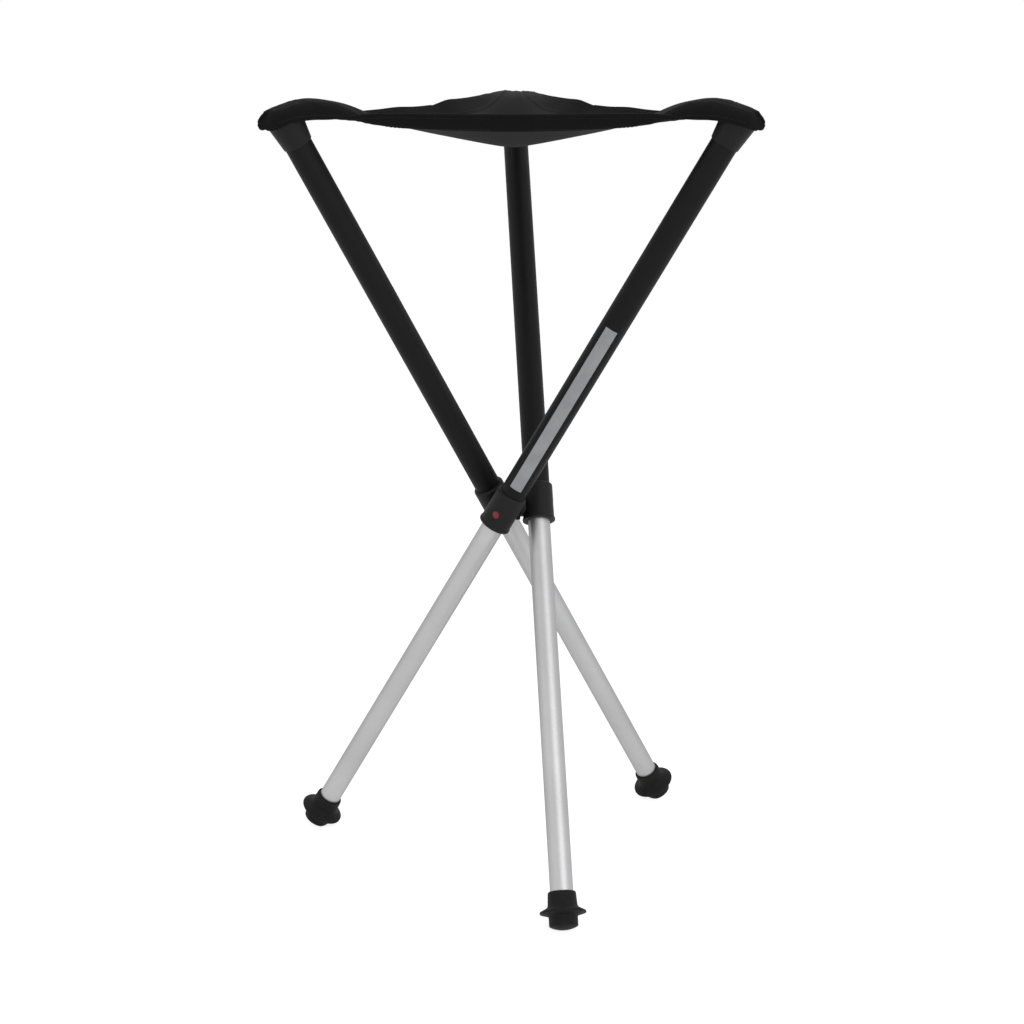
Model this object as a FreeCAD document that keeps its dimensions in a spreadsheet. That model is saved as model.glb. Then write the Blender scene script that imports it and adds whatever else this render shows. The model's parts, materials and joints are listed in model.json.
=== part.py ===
# Folding three-legged stool with a fabric seat and telescopic legs.
#
# Each leg leans past a small central hub and turns on a radial pivot pin. Upright legs lie
# side by side, and leaning legs spread the seat's three corners until the fabric is taut.
# The lower tubes slide up into the upper ones when their buttons are pressed.
#
# Frame: +Z up, the floor at Z = 0, the origin at the centre of the stool's base.

import FreeCAD, Part
import Sketcher
import math
import os

doc = FreeCAD.newDocument("FoldingStool")


# Driving dimensions, in millimetres and degrees

DRIVING = {
    # stance
    "tilt": 31.52,
    "first_arm": -114.09,
    "pivot_offset": 23.4,
    # clearances
    "slide_gap": 0.07,
    "turn_gap": 0.06,
    "seat_gap": 0.05,
    "soft_gap": 0.35,
    "overrun": 1.0,
    # upper tube
    "upper_diameter": 23.4,
    "upper_wall": 1.0,
    "upper_top": 397.0,
    # lower tube
    "lower_diameter": 20.0,
    "lower_wall": 1.5,
    "lower_top": 36.8,
    # leg collar
    "collar_diameter": 30.0,
    "collar_rise": 21.0,
    "collar_drop": 14.0,
    "collar_bevel": 1.6,
    "ledge_rise": 5.0,
    "lip_diameter": 31.4,
    "lip_height": 2.2,
    "boss_diameter": 18.0,
    "boss_root": 11.5,
    "pad_diameter": 13.0,
    "pad_reach": 16.0,
    # hub
    "hub_face": 6.35,
    "hub_height": 20.0,
    "hub_trim_diameter": 21.0,
    "pin_diameter": 6.0,
    "pin_root": 3.0,
    "shoulder_reach": 12.2,
    # pivot screw
    "screw_head_diameter": 9.0,
    "screw_head_height": 1.75,
    "screw_shank_diameter": 3.0,
    "screw_tip": 3.6,
    # release button
    "button_diameter": 6.8,
    "button_flange_diameter": 9.0,
    "button_flange_height": 1.2,
    "button_shoulder": 14.1,
    "button_sink": 1.0,
    "button_crown": 0.6,
    # guide bush
    "bush_lift": 0.3,
    # snap spring
    "spring_width": 6.0,
    "spring_strip": 0.5,
    "spring_half_span": 7.7,
    "spring_rise": 5.0,
    "spring_drop": 24.0,
    "snap_pin_diameter": 4.8,
    # end cap
    "plug_length": 25.0,
    "plug_wall": 2.0,
    "sleeve_length": 12.0,
    "sleeve_wall": 0.9,
    "cap_diameter": 32.0,
    "cap_rise": 15.0,
    "cap_crown": 7.0,
    # foot
    "foot_reach": 365.3,
    "sole_depth": 15.0,
    "sole_diameter": 25.0,
    "sole_crown_radius": 20.0,
    "sole_cut": 0.6,
    "flange_diameter": 40.0,
    "flange_edge": 1.5,
    "flange_root": 4.2,
    "foot_height": 19.0,
    "foot_top_diameter": 24.2,
    "foot_bevel": 0.8,
    "tube_seat": 3.0,
    # seat
    "fabric": 2.4,
    "hem_width": 16.0,
    "hem_extra": 0.6,
    "pocket_depth": 9.0,
    "pocket_seam": 3.65,
    "nose_diameter": 19.8,
    "nose_reach": 10.2,
    "nose_station": 14.6,
    "panel_setback": 9.0,
    "belly_radius": 25.0,
    "belly_drop": 17.2,
    "belly_rise": 4.5,
    "edge_distance": 84.0,
    "edge_lift": 1.2,
    "corner_start": 160.0,
    "corner_lift": 7.6,
    "corner_rise": 21.0,
    "corner_half_width": 20.0,
    "corner_station": 185.0,
}

sheet = doc.addObject("Spreadsheet::Sheet", "sizes")
for row, (alias, number) in enumerate(DRIVING.items(), start=1):
    sheet.set(f"A{row}", alias)
    sheet.set(f"B{row}", str(number))
    sheet.setAlias(f"B{row}", alias)
doc.recompute()


class Size:
    """A size with its value and the sheet expression that gives it."""

    def __init__(self, value, text):
        self.value = value
        self.text = text

    def _with(self, sign, other, value):
        text = other.text if isinstance(other, Size) else repr(other)
        return Size(value, f"({self.text} {sign} {text})")

    def __add__(self, other):
        return self._with("+", other, self.value + number_of(other))

    def __sub__(self, other):
        return self._with("-", other, self.value - number_of(other))

    def __mul__(self, other):
        return self._with("*", other, self.value * number_of(other))

    def __truediv__(self, other):
        return self._with("/", other, self.value / number_of(other))

    def __neg__(self):
        return Size(-self.value, f"(0 - {self.text})")


def number_of(size):
    return size.value if isinstance(size, Size) else size


def size(alias):
    return Size(float(sheet.get(alias)), f"sizes.{alias}")


def root_of(size_squared):
    return Size(math.sqrt(size_squared.value), f"sqrt({size_squared.text})")


ZERO = Size(0.0, "0")

# Sizes that several pieces share
TILT = size("tilt")
TILT_SIN = Size(math.sin(math.radians(TILT.value)), f"sin({TILT.text})")
TILT_COS = Size(math.cos(math.radians(TILT.value)), f"cos({TILT.text})")
UPPER_RADIUS = size("upper_diameter") / 2
UPPER_BORE_RADIUS = UPPER_RADIUS - size("upper_wall")
LOWER_RADIUS = size("lower_diameter") / 2
LOWER_BORE_RADIUS = LOWER_RADIUS - size("lower_wall")
COLLAR_BORE_RADIUS = LOWER_RADIUS + size("slide_gap") + size("slide_gap")
SOLE_RADIUS = size("sole_diameter") / 2
CROWN_RADIUS = size("sole_crown_radius")
BOSS_REACH = size("pivot_offset") - size("hub_face") - size("seat_gap")
BUTTON_INNER = size("button_shoulder") - size("seat_gap") - size("button_flange_height")
FOOT_END = size("foot_reach") + size("sole_depth")
PIVOT_HEIGHT = (FOOT_END - CROWN_RADIUS) * TILT_COS + CROWN_RADIUS - size("sole_cut")
TOP_HEIGHT = PIVOT_HEIGHT + size("upper_top") * TILT_COS
TOP_LEAN = size("upper_top") * TILT_SIN
TOP_RADIUS = root_of(size("pivot_offset") * size("pivot_offset") + TOP_LEAN * TOP_LEAN)

LEGS = ("right", "rear", "left")
HEMS = ("right", "left", "front")
LEG_STEP = 360 / len(LEGS)
X_AXIS = FreeCAD.Vector(1, 0, 0)
Y_AXIS = FreeCAD.Vector(0, 1, 0)
Z_AXIS = FreeCAD.Vector(0, 0, 1)

pieces = {}


# Helpers

def arm_angle(leg):
    """The azimuth of a leg's pivot pin, in degrees."""
    return sheet.get("first_arm") + LEG_STEP * leg


def corner_angle(leg):
    """The azimuth of the seat corner that a leg carries, in degrees."""
    return arm_angle(leg) + math.degrees(math.atan2(TOP_LEAN.value, sheet.get("pivot_offset")))


def leg_frame(leg):
    """Origin on the pivot, Z up along the leg, X outward along the pivot pin."""
    turn = FreeCAD.Rotation(Z_AXIS, arm_angle(leg))
    origin = turn.multVec(FreeCAD.Vector(sheet.get("pivot_offset"), 0, PIVOT_HEIGHT.value))
    return FreeCAD.Placement(origin, turn * FreeCAD.Rotation(X_AXIS, -TILT.value))


def along_leg(leg, station):
    """A leg's frame, moved along the leg to a station measured up from its pivot."""
    return leg_frame(leg) * FreeCAD.Placement(Z_AXIS * station.value, FreeCAD.Rotation())


def across_leg(leg, reach):
    """A frame on a leg's pivot line with Z outward, at a reach measured from the leg's axis."""
    return leg_frame(leg) * FreeCAD.Placement(X_AXIS * reach.value, FreeCAD.Rotation(Y_AXIS, 90))


def keep(name, piece, placement):
    """Put a finished piece in its place under its own name."""
    piece.Placement = placement
    piece.Label = name
    pieces[name] = piece


def bind(thing, **sizes):
    for name, value in sizes.items():
        thing.setExpression(name, value.text)


def primitive(kind, name, **sizes):
    thing = doc.addObject(f"Part::{kind}", name)
    bind(thing, **sizes)
    return thing


def cut(name, base, tool):
    thing = doc.addObject("Part::Cut", name)
    thing.Base = base
    thing.Tool = tool
    return thing


def fused(name, shapes):
    thing = doc.addObject("Part::MultiFuse", name)
    thing.Shapes = shapes
    return thing


def tube(name, radius, bore_radius, length):
    outer = primitive("Cylinder", f"{name}_outside", Radius=radius, Height=length)
    inner = primitive("Cylinder", f"{name}_inside", Radius=bore_radius, Height=length)
    return cut(name, outer, inner)


def origin_plane(body, role):
    return next(plane for plane in body.Origin.OriginFeatures if plane.Role == role)


def arc_about_axis(start, end):
    """The short arc between two profile points whose centre is on the axis of revolution."""
    (r1, z1), (r2, z2) = start, end
    centre = (r1 * r1 + z1 * z1 - r2 * r2 - z2 * z2) / (2 * (z1 - z2))
    circle = Part.Circle(FreeCAD.Vector(0, centre, 0), Z_AXIS, math.hypot(r1, z1 - centre))
    angle1 = math.atan2(z1 - centre, r1)
    angle2 = math.atan2(z2 - centre, r2)
    forward = (angle2 - angle1) % math.tau < math.pi
    first, last = (angle1, angle2) if forward else (angle2, angle1)
    return Part.ArcOfCircle(circle, first, last), forward


def profile(body, name, points):
    """A closed profile of (radius, height) sizes; a point marked "arc" starts an arc."""
    sketch = body.newObject("Sketcher::SketchObject", name)
    sketch.AttachmentSupport = [(origin_plane(body, "XZ_Plane"), "")]
    sketch.MapMode = "FlatFace"
    ends = []
    flat = [(point[0].value, point[1].value) for point in points]
    for index, point in enumerate(points):
        here, there = flat[index], flat[(index + 1) % len(flat)]
        if "arc" in point:
            curve, forward = arc_about_axis(here, there)
        else:
            curve = Part.LineSegment(FreeCAD.Vector(*here, 0), FreeCAD.Vector(*there, 0))
            forward = True
        edge = sketch.addGeometry(curve)
        ends.append((edge, 1, 2) if forward else (edge, 2, 1))
        if "arc" in point:
            sketch.addConstraint(Sketcher.Constraint("PointOnObject", edge, 3, -2))
    for index, point in enumerate(points):
        edge, start, _ = ends[index]
        before, _, end = ends[index - 1]
        sketch.addConstraint(Sketcher.Constraint("Coincident", before, end, edge, start))
        for kind, line, coordinate in (("DistanceX", -2, point[0]), ("DistanceY", -1, point[1])):
            if coordinate is ZERO:
                sketch.addConstraint(Sketcher.Constraint("PointOnObject", edge, start, line))
            else:
                rule = Sketcher.Constraint(kind, -1, 1, edge, start, coordinate.value)
                place = sketch.addConstraint(rule)
                sketch.setExpression(f"Constraints[{place}]", coordinate.text)
    return sketch


def turned(body, name, points, kind="Revolution"):
    """Turn a profile about Z into a solid or, as a Groove, into a cut."""
    sketch = profile(body, f"{name}_profile", points)
    thing = body.newObject(f"PartDesign::{kind}", f"{name}_turned")
    thing.Profile = sketch
    thing.ReferenceAxis = (sketch, ["V_Axis"])
    thing.Angle = 360


def revolved(name, points):
    """A body turned about Z from a profile."""
    body = doc.addObject("PartDesign::Body", name)
    turned(body, name, points)
    return body


def feature(body, kind, name, placement=None, **sizes):
    """Add a PartDesign primitive, such as a SubtractiveCylinder, to a body."""
    thing = body.newObject(f"PartDesign::{kind}", name)
    thing.Placement = placement or FreeCAD.Placement()
    bind(thing, **sizes)
    return thing


def cross(station, reach):
    """Inside a piece: a placement on its axis at a height, with Z turned to +X at a reach."""
    base = FreeCAD.Vector(reach.value, 0, station.value)
    return FreeCAD.Placement(base, FreeCAD.Rotation(Y_AXIS, 90))


# Hub: a three-sided block with a pivot pin on each face

def make_hub():
    block = primitive("Prism", "hub_block", Circumradius=size("hub_face") * 2, Height=size("hub_height"))
    block.Polygon = len(LEGS)
    turn = FreeCAD.Rotation(Z_AXIS, arm_angle(0) - LEG_STEP / 2)
    base = FreeCAD.Vector(0, 0, -size("hub_height").value / 2)
    block.Placement = FreeCAD.Placement(base, turn)
    trim = primitive(
        "Cylinder", "hub_trim", Radius=size("hub_trim_diameter") / 2, Height=size("hub_height"))
    trim.Placement = FreeCAD.Placement(base, turn)
    core = doc.addObject("Part::MultiCommon", "hub_trimmed")
    core.Shapes = [block, trim]

    pin_end = size("pivot_offset") - size("shoulder_reach") + size("seat_gap")
    pins = []
    holes = []
    for leg in range(len(LEGS)):
        arm = FreeCAD.Rotation(Z_AXIS, arm_angle(leg)) * FreeCAD.Rotation(Y_AXIS, 90)
        pin = primitive(
            "Cylinder", f"hub_pin_{LEGS[leg]}",
            Radius=size("pin_diameter") / 2, Height=pin_end - size("pin_root"))
        pin.Placement = FreeCAD.Placement(arm.multVec(Z_AXIS * sheet.get("pin_root")), arm)
        pins.append(pin)
        hole = primitive(
            "Cylinder", f"hub_hole_{LEGS[leg]}",
            Radius=size("screw_shank_diameter") / 2 + size("seat_gap"),
            Height=pin_end - size("pin_root") + size("overrun"))
        hole.Placement = FreeCAD.Placement(arm.multVec(Z_AXIS * sheet.get("pin_root")), arm)
        holes.append(hole)
    solid = fused("hub_with_pins", [core] + pins)
    hub = cut("hub_core", solid, fused("hub_holes", holes))
    keep("hub_core", hub, FreeCAD.Placement(Z_AXIS * PIVOT_HEIGHT.value, FreeCAD.Rotation()))


def make_pivot_screw(leg, tag):
    """Its shank goes into the hub's pin, and its head holds the collar on."""
    pin_end = size("pivot_offset") - size("shoulder_reach") + size("seat_gap")
    shank = size("screw_shank_diameter") / 2
    head = size("screw_head_diameter") / 2
    length = pin_end - size("screw_tip")
    top = length + size("screw_head_height")
    body = revolved(f"pivot_screw_{tag}", [
        (ZERO, ZERO), (shank, ZERO), (shank, length), (head, length), (head, top), (ZERO, top)])
    start = size("screw_tip") - size("pivot_offset")
    keep(f"pivot_screw_{tag}", body, across_leg(leg, start))


# Collar: a moulded sleeve with the pivot boss inward and the button's pad outward

def make_leg_collar(leg, tag):
    name = f"leg_collar_{tag}"
    radius = size("collar_diameter") / 2
    lip = size("lip_diameter") / 2
    pivot = size("collar_drop")
    top = pivot + size("collar_rise")
    bevel = size("collar_bevel")
    body = revolved(name, [
        (ZERO, ZERO), (lip, ZERO), (lip, size("lip_height") - size("seat_gap")),
        (radius, size("lip_height") + size("seat_gap")), (radius, top - bevel),
        (radius - bevel, top), (ZERO, top)])
    feature(
        body, "AdditiveCylinder", f"{name}_boss", cross(pivot, -BOSS_REACH),
        Radius=size("boss_diameter") / 2, Height=BOSS_REACH - size("boss_root"))
    feature(
        body, "AdditiveCylinder", f"{name}_pad", cross(pivot, size("boss_root")),
        Radius=size("pad_diameter") / 2, Height=size("pad_reach") - size("boss_root"))
    feature(
        body, "SubtractiveCylinder", f"{name}_bore", Radius=COLLAR_BORE_RADIUS, Height=top)
    ledge = pivot + size("ledge_rise")
    feature(
        body, "SubtractiveCylinder", f"{name}_socket",
        FreeCAD.Placement(Z_AXIS * ledge.value, FreeCAD.Rotation()),
        Radius=UPPER_RADIUS + size("seat_gap"), Height=top - ledge)
    feature(
        body, "SubtractiveCylinder", f"{name}_pin_hole", cross(pivot, -BOSS_REACH),
        Radius=size("pin_diameter") / 2 + size("turn_gap"), Height=BOSS_REACH)
    feature(
        body, "SubtractiveCylinder", f"{name}_head_seat", cross(pivot, -size("shoulder_reach")),
        Radius=size("screw_head_diameter") / 2 + size("turn_gap"), Height=size("shoulder_reach"))
    feature(
        body, "SubtractiveCylinder", f"{name}_button_hole", cross(pivot, ZERO),
        Radius=size("button_diameter") / 2 + size("turn_gap"),
        Height=size("pad_reach") + size("overrun"))
    feature(
        body, "SubtractiveCylinder", f"{name}_button_seat", cross(pivot, ZERO),
        Radius=size("button_flange_diameter") / 2 + size("turn_gap"),
        Height=size("button_shoulder"))
    keep(name, body, along_leg(leg, -pivot))


def make_release_button(leg, tag):
    flange = size("button_flange_diameter") / 2
    stem = size("button_diameter") / 2
    step = size("button_flange_height")
    shoulder = size("pad_reach") - size("button_sink") - BUTTON_INNER
    body = revolved(f"release_button_{tag}", [
        (ZERO, ZERO), (flange, ZERO), (flange, step), (stem, step),
        (stem, shoulder, "arc"), (ZERO, shoulder + size("button_crown"))])
    keep(f"release_button_{tag}", body, across_leg(leg, BUTTON_INNER))


# Tubes and what fits in and on them

def make_upper_tube(leg, tag):
    start = size("ledge_rise") + size("seat_gap")
    piece = tube(
        f"upper_tube_{tag}", UPPER_RADIUS, UPPER_BORE_RADIUS, size("upper_top") - start)
    keep(f"upper_tube_{tag}", piece, along_leg(leg, start))


def make_lower_tube(leg, tag):
    """Open at both ends, with a hole for the snap pin at the height of the pivot."""
    reach = size("foot_reach") - size("tube_seat")
    whole = tube(
        f"lower_tube_{tag}_whole", LOWER_RADIUS, LOWER_BORE_RADIUS, reach + size("lower_top"))
    hole = primitive(
        "Cylinder", f"lower_tube_{tag}_hole",
        Radius=size("snap_pin_diameter") / 2 + size("turn_gap"),
        Height=LOWER_RADIUS + size("overrun"))
    hole.Placement = cross(reach, ZERO)
    keep(f"lower_tube_{tag}", cut(f"lower_tube_{tag}", whole, hole), along_leg(leg, -reach))


def make_guide_bush(leg, tag):
    start = size("ledge_rise") + size("bush_lift")
    inner = LOWER_RADIUS + size("seat_gap") / 2
    piece = tube(
        f"guide_bush_{tag}", UPPER_BORE_RADIUS - size("slide_gap"), inner,
        size("lower_top") - start)
    keep(f"guide_bush_{tag}", piece, along_leg(leg, start))


def make_snap_spring(leg, tag):
    """A hairpin of flat spring strip that carries the locking pin through the lower tube."""
    name = f"snap_spring_{tag}"
    outer = size("spring_half_span")
    inner = outer - size("spring_strip")
    width = size("spring_width")
    arms = size("spring_drop") + size("spring_rise")
    body = doc.addObject("PartDesign::Body", name)
    across = FreeCAD.Rotation(X_AXIS, 90)
    side = FreeCAD.Placement(Y_AXIS * (width.value / 2), across)
    feature(body, "AdditiveCylinder", f"{name}_bend", side, Radius=outer, Height=width)
    corner = FreeCAD.Vector(-outer.value, -width.value / 2, 0)
    feature(
        body, "AdditiveBox", f"{name}_arms", FreeCAD.Placement(corner, FreeCAD.Rotation()),
        Length=outer * 2, Width=width, Height=arms)
    feature(body, "SubtractiveCylinder", f"{name}_bend_inside", side, Radius=inner, Height=width)
    corner = FreeCAD.Vector(-inner.value, -width.value / 2, 0)
    feature(
        body, "SubtractiveBox", f"{name}_arms_inside",
        FreeCAD.Placement(corner, FreeCAD.Rotation()),
        Length=inner * 2, Width=width, Height=arms)
    feature(
        body, "AdditiveCylinder", f"{name}_pin", cross(size("spring_drop"), inner),
        Radius=size("snap_pin_diameter") / 2, Height=LOWER_RADIUS - inner)
    keep(name, body, along_leg(leg, -size("spring_drop")))


def make_end_cap(leg, tag):
    """A plug in the tube, a flared sleeve over it and a round crown in the seat's pocket."""
    plug = UPPER_BORE_RADIUS - size("seat_gap")
    inside = plug - size("plug_wall")
    slot = UPPER_RADIUS + size("seat_gap")
    sleeve = slot + size("sleeve_wall")
    tube_end = size("plug_length") + size("seat_gap")
    sleeve_end = size("plug_length") - size("sleeve_length")
    rim = size("plug_length") + size("cap_rise")
    body = revolved(f"end_cap_{tag}", [
        (inside, ZERO), (plug, ZERO), (plug, tube_end), (slot, tube_end), (slot, sleeve_end),
        (sleeve, sleeve_end), (size("cap_diameter") / 2, rim, "arc"),
        (ZERO, rim + size("cap_crown")), (ZERO, rim), (inside, rim)])
    keep(f"end_cap_{tag}", body, along_leg(leg, size("upper_top") - size("plug_length")))


def make_foot(leg, tag):
    """A rubber tip: a socket, a thin flange and a crowned sole with a flat where it stands."""
    name = f"foot_{tag}"
    flange = size("flange_diameter") / 2
    middle = size("sole_depth")
    half_edge = size("flange_edge") / 2
    half_root = size("flange_root") / 2
    top = middle + size("foot_height")
    top_radius = size("foot_top_diameter") / 2
    crown_height = CROWN_RADIUS - root_of(CROWN_RADIUS * CROWN_RADIUS - SOLE_RADIUS * SOLE_RADIUS)
    bore = LOWER_RADIUS + size("seat_gap") / 2
    tube_end = middle + size("tube_seat")
    body = revolved(name, [
        (ZERO, ZERO, "arc"), (SOLE_RADIUS, crown_height), (SOLE_RADIUS, middle - half_root),
        (flange, middle - half_edge), (flange, middle + half_edge),
        (SOLE_RADIUS, middle + half_root), (top_radius, top - size("foot_bevel")),
        (top_radius - size("foot_bevel"), top), (bore, top), (bore, tube_end), (ZERO, tube_end)])
    turn = FreeCAD.Rotation(X_AXIS, TILT.value)
    depth = CROWN_RADIUS + SOLE_RADIUS - size("sole_cut")
    corner = FreeCAD.Vector(-SOLE_RADIUS.value, -SOLE_RADIUS.value, -depth.value)
    base = Z_AXIS * CROWN_RADIUS.value + turn.multVec(corner)
    feature(
        body, "SubtractiveBox", f"{name}_sole", FreeCAD.Placement(base, turn),
        Length=SOLE_RADIUS * 2, Width=SOLE_RADIUS * 2, Height=SOLE_RADIUS)
    keep(name, body, along_leg(leg, -size("foot_reach") - middle))


# Seat: a hanging panel with concave edges, a hem along each edge and a hood at each corner

def cap_radius(station):
    """The flared cap's radius at a station below its rim, measured up from the tube's end."""
    low = UPPER_RADIUS + size("seat_gap") + size("sleeve_wall")
    high = size("cap_diameter") / 2
    flare = size("cap_rise") + size("sleeve_length")
    return low + (high - low) * (station + size("sleeve_length")) / flare


def make_seat_pocket(leg, tag):
    """A sewn hood on the cap's crown, with the gathered seam as a nose on its outer side."""
    name = f"seat_pocket_{tag}"
    gap = size("soft_gap")
    depth = size("pocket_depth")
    mouth = cap_radius(size("cap_rise") - depth) + gap
    wide = size("cap_diameter") / 2 + gap
    inside = depth + size("cap_crown") + gap
    cloth = size("fabric")
    body = revolved(name, [
        (ZERO, ZERO), (mouth + cloth, ZERO), (wide + cloth, depth, "arc"),
        (ZERO, inside + size("pocket_seam"))])
    middle = FreeCAD.Vector(0, size("nose_reach").value, size("nose_station").value)
    feature(
        body, "AdditiveSphere", f"{name}_nose", FreeCAD.Placement(middle, FreeCAD.Rotation()),
        Radius=size("nose_diameter") / 2)
    turned(body, f"{name}_room", [
        (ZERO, ZERO), (mouth, ZERO), (wide, depth, "arc"), (ZERO, inside)], "Groove")
    keep(name, body, along_leg(leg, size("upper_top") + size("cap_rise") - depth))


def dish(name, below, above):
    """The sagging sheet as a turned body, with extra thickness below and above the fabric."""
    low = TOP_HEIGHT - size("belly_drop")
    rise = low + size("belly_rise")
    edge = TOP_HEIGHT + size("edge_lift")
    start = TOP_HEIGHT + size("corner_lift")
    corner = TOP_HEIGHT + size("corner_rise")
    end = TOP_RADIUS - size("panel_setback")
    belly = size("belly_radius")
    middle = size("edge_distance")
    ramp = size("corner_start")
    thick = size("fabric") + above
    return revolved(name, [
        (ZERO, low - below, "arc"), (belly, rise - below), (middle, edge - below),
        (ramp, start - below), (end, corner - below), (end, corner + thick),
        (ramp, start + thick), (middle, edge + thick), (belly, rise + thick, "arc"),
        (ZERO, low + thick)])


def edge_cylinder(name, edge, extra):
    """A tall cylinder whose side is one concave edge of the seat, moved inward by extra."""
    # The arc runs through the middle of the edge and a point beside each neighbouring corner.
    half_turn = math.radians(LEG_STEP / 2)
    along = size("corner_station")
    aside = size("corner_half_width")
    half_chord = along * math.sin(half_turn) - aside * math.cos(half_turn)
    chord_distance = along * math.cos(half_turn) + aside * math.sin(half_turn)
    bow = chord_distance - size("edge_distance")
    radius = (half_chord * half_chord + bow * bow) / (bow * 2)
    tool = primitive("Cylinder", name, Radius=radius + extra, Height=TOP_HEIGHT * 2)
    turn = FreeCAD.Rotation(Z_AXIS, corner_angle(edge) + LEG_STEP / 2)
    centre = (radius + size("edge_distance")).value
    tool.Placement = FreeCAD.Placement(turn.multVec(X_AXIS * centre), turn)
    return tool


def pocket_room(name):
    """The space round each corner's pocket that the panel and the hems keep clear."""
    rooms = []
    for leg, tag in enumerate(LEGS):
        room = primitive(
            "Cylinder", f"{name}_{tag}",
            Radius=size("cap_diameter") / 2 + size("fabric") + size("soft_gap") * 2,
            Height=size("upper_top"))
        room.Placement = along_leg(leg, size("upper_top") / 2)
        rooms.append(room)
    return rooms


def make_seat_panel():
    tools = pocket_room("panel_room")
    for edge, tag in enumerate(HEMS):
        tools.append(edge_cylinder(f"panel_edge_{tag}", edge, size("hem_width") + size("seat_gap")))
    piece = cut("seat_panel", dish("panel_sheet", ZERO, ZERO), fused("panel_cuts", tools))
    keep("seat_panel", piece, FreeCAD.Placement())


def make_hem(edge, tag):
    """The doubled band along one edge, a little thicker than the panel on both faces."""
    name = f"hem_{tag}"
    extra = size("hem_extra")
    band = cut(
        f"{name}_band", edge_cylinder(f"{name}_inner_side", edge, size("hem_width")),
        edge_cylinder(f"{name}_outer_side", edge, ZERO))
    strip = doc.addObject("Part::MultiCommon", f"{name}_strip")
    strip.Shapes = [dish(f"{name}_sheet", extra, extra), band]
    piece = cut(name, strip, fused(f"{name}_cuts", pocket_room(f"{name}_room")))
    keep(name, piece, FreeCAD.Placement())


make_hub()
for leg, tag in enumerate(LEGS):
    make_pivot_screw(leg, tag)
    make_leg_collar(leg, tag)
    make_release_button(leg, tag)
    make_upper_tube(leg, tag)
    make_lower_tube(leg, tag)
    make_guide_bush(leg, tag)
    make_snap_spring(leg, tag)
    make_end_cap(leg, tag)
    make_foot(leg, tag)
    make_seat_pocket(leg, tag)
make_seat_panel()
for edge, tag in enumerate(HEMS):
    make_hem(edge, tag)
doc.recompute()


# The origin goes to the centre of the base: every piece moves by the same amount

outline = FreeCAD.BoundBox()
for piece in pieces.values():
    outline.add(piece.Shape.optimalBoundingBox(False))
shift = FreeCAD.Vector(-outline.Center.x, -outline.Center.y, 0)
for piece in pieces.values():
    piece.Placement = FreeCAD.Placement(shift, FreeCAD.Rotation()) * piece.Placement
doc.recompute()


# Tests and export

for thing in doc.Objects:
    if "Invalid" in thing.State or "Error" in thing.State:
        raise RuntimeError(f"{thing.Name} failed: {thing.State}")

os.makedirs("parts", exist_ok=True)
for name, piece in pieces.items():
    shape = piece.Shape
    if shape.isNull() or not shape.isValid() or not shape.Solids:
        raise RuntimeError(f"{name} is not a valid solid")
    if len(shape.Solids) != 1:
        raise RuntimeError(f"{name} fell into {len(shape.Solids)} solids")
    shape.exportStep(f"parts/{name}.step")

print("pieces", len(pieces))
print("box", [round(v, 2) for v in (outline.XLength, outline.YLength, outline.ZMin, outline.ZMax)])
print("hub axis", round(shift.x, 3), round(shift.y, 3), "pivot height", round(PIVOT_HEIGHT.value, 3))
for leg, tag in enumerate(LEGS):
    frame = leg_frame(leg)
    place = frame.Base + shift
    pin = frame.Rotation.multVec(X_AXIS)
    up = frame.Rotation.multVec(Z_AXIS)
    print(tag, "pivot", [round(v, 4) for v in place], "pin", [round(v, 6) for v in pin],
          "up", [round(v, 6) for v in up], "corner", round(corner_angle(leg), 3))
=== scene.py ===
# %% [markdown]
# # A folding three-legged stool, dressed for its portrait
#
# The stool comes from the CAD model as a frame of rigid solids. This lesson keeps the solids
# whose shape is already right, gives each one a finish that its real counterpart has, and models
# anew what CAD leaves plain: the sagging fabric seat with its hems, stitches and corner pockets,
# the moulded collars, the end caps, the red buttons and the rubber feet.

# %% Load the frame
import json
import math

import bmesh
import bpy
import numpy as np
from mathutils import Matrix, Vector, noise


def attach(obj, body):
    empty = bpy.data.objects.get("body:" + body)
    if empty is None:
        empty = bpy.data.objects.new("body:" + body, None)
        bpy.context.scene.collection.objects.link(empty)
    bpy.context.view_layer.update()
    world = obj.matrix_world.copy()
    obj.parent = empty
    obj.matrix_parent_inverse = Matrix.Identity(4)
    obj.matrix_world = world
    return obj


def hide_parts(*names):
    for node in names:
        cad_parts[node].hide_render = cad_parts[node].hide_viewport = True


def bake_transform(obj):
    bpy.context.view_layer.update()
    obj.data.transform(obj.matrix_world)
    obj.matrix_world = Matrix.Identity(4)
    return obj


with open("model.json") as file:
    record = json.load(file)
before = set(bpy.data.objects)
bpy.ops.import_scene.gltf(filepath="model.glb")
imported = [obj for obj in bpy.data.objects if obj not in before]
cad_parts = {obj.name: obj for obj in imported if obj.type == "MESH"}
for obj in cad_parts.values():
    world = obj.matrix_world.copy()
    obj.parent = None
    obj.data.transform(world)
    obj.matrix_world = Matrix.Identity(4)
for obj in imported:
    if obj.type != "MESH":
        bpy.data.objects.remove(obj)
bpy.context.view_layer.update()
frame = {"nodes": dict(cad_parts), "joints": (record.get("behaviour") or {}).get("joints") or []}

MM = 0.001
LEGS = ("right", "rear", "left")
joints = {joint["name"]: joint for joint in frame["joints"]}

# %% [markdown]
# ## Where the legs are
#
# Each leg is a straight pole that leans past the hub and turns on a level pin. Modelling on a
# slanted pole is easier in the pole's own axes, so each leg gets a matrix: its origin on the
# pivot, Z up the pole, X outward along the pin and Y leaning outward. Everything below that sits
# on a leg is drawn upright in millimetres and then moved by that matrix.

# %% Leg frames
TO_METRES = Matrix.Scale(MM, 4)


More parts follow.
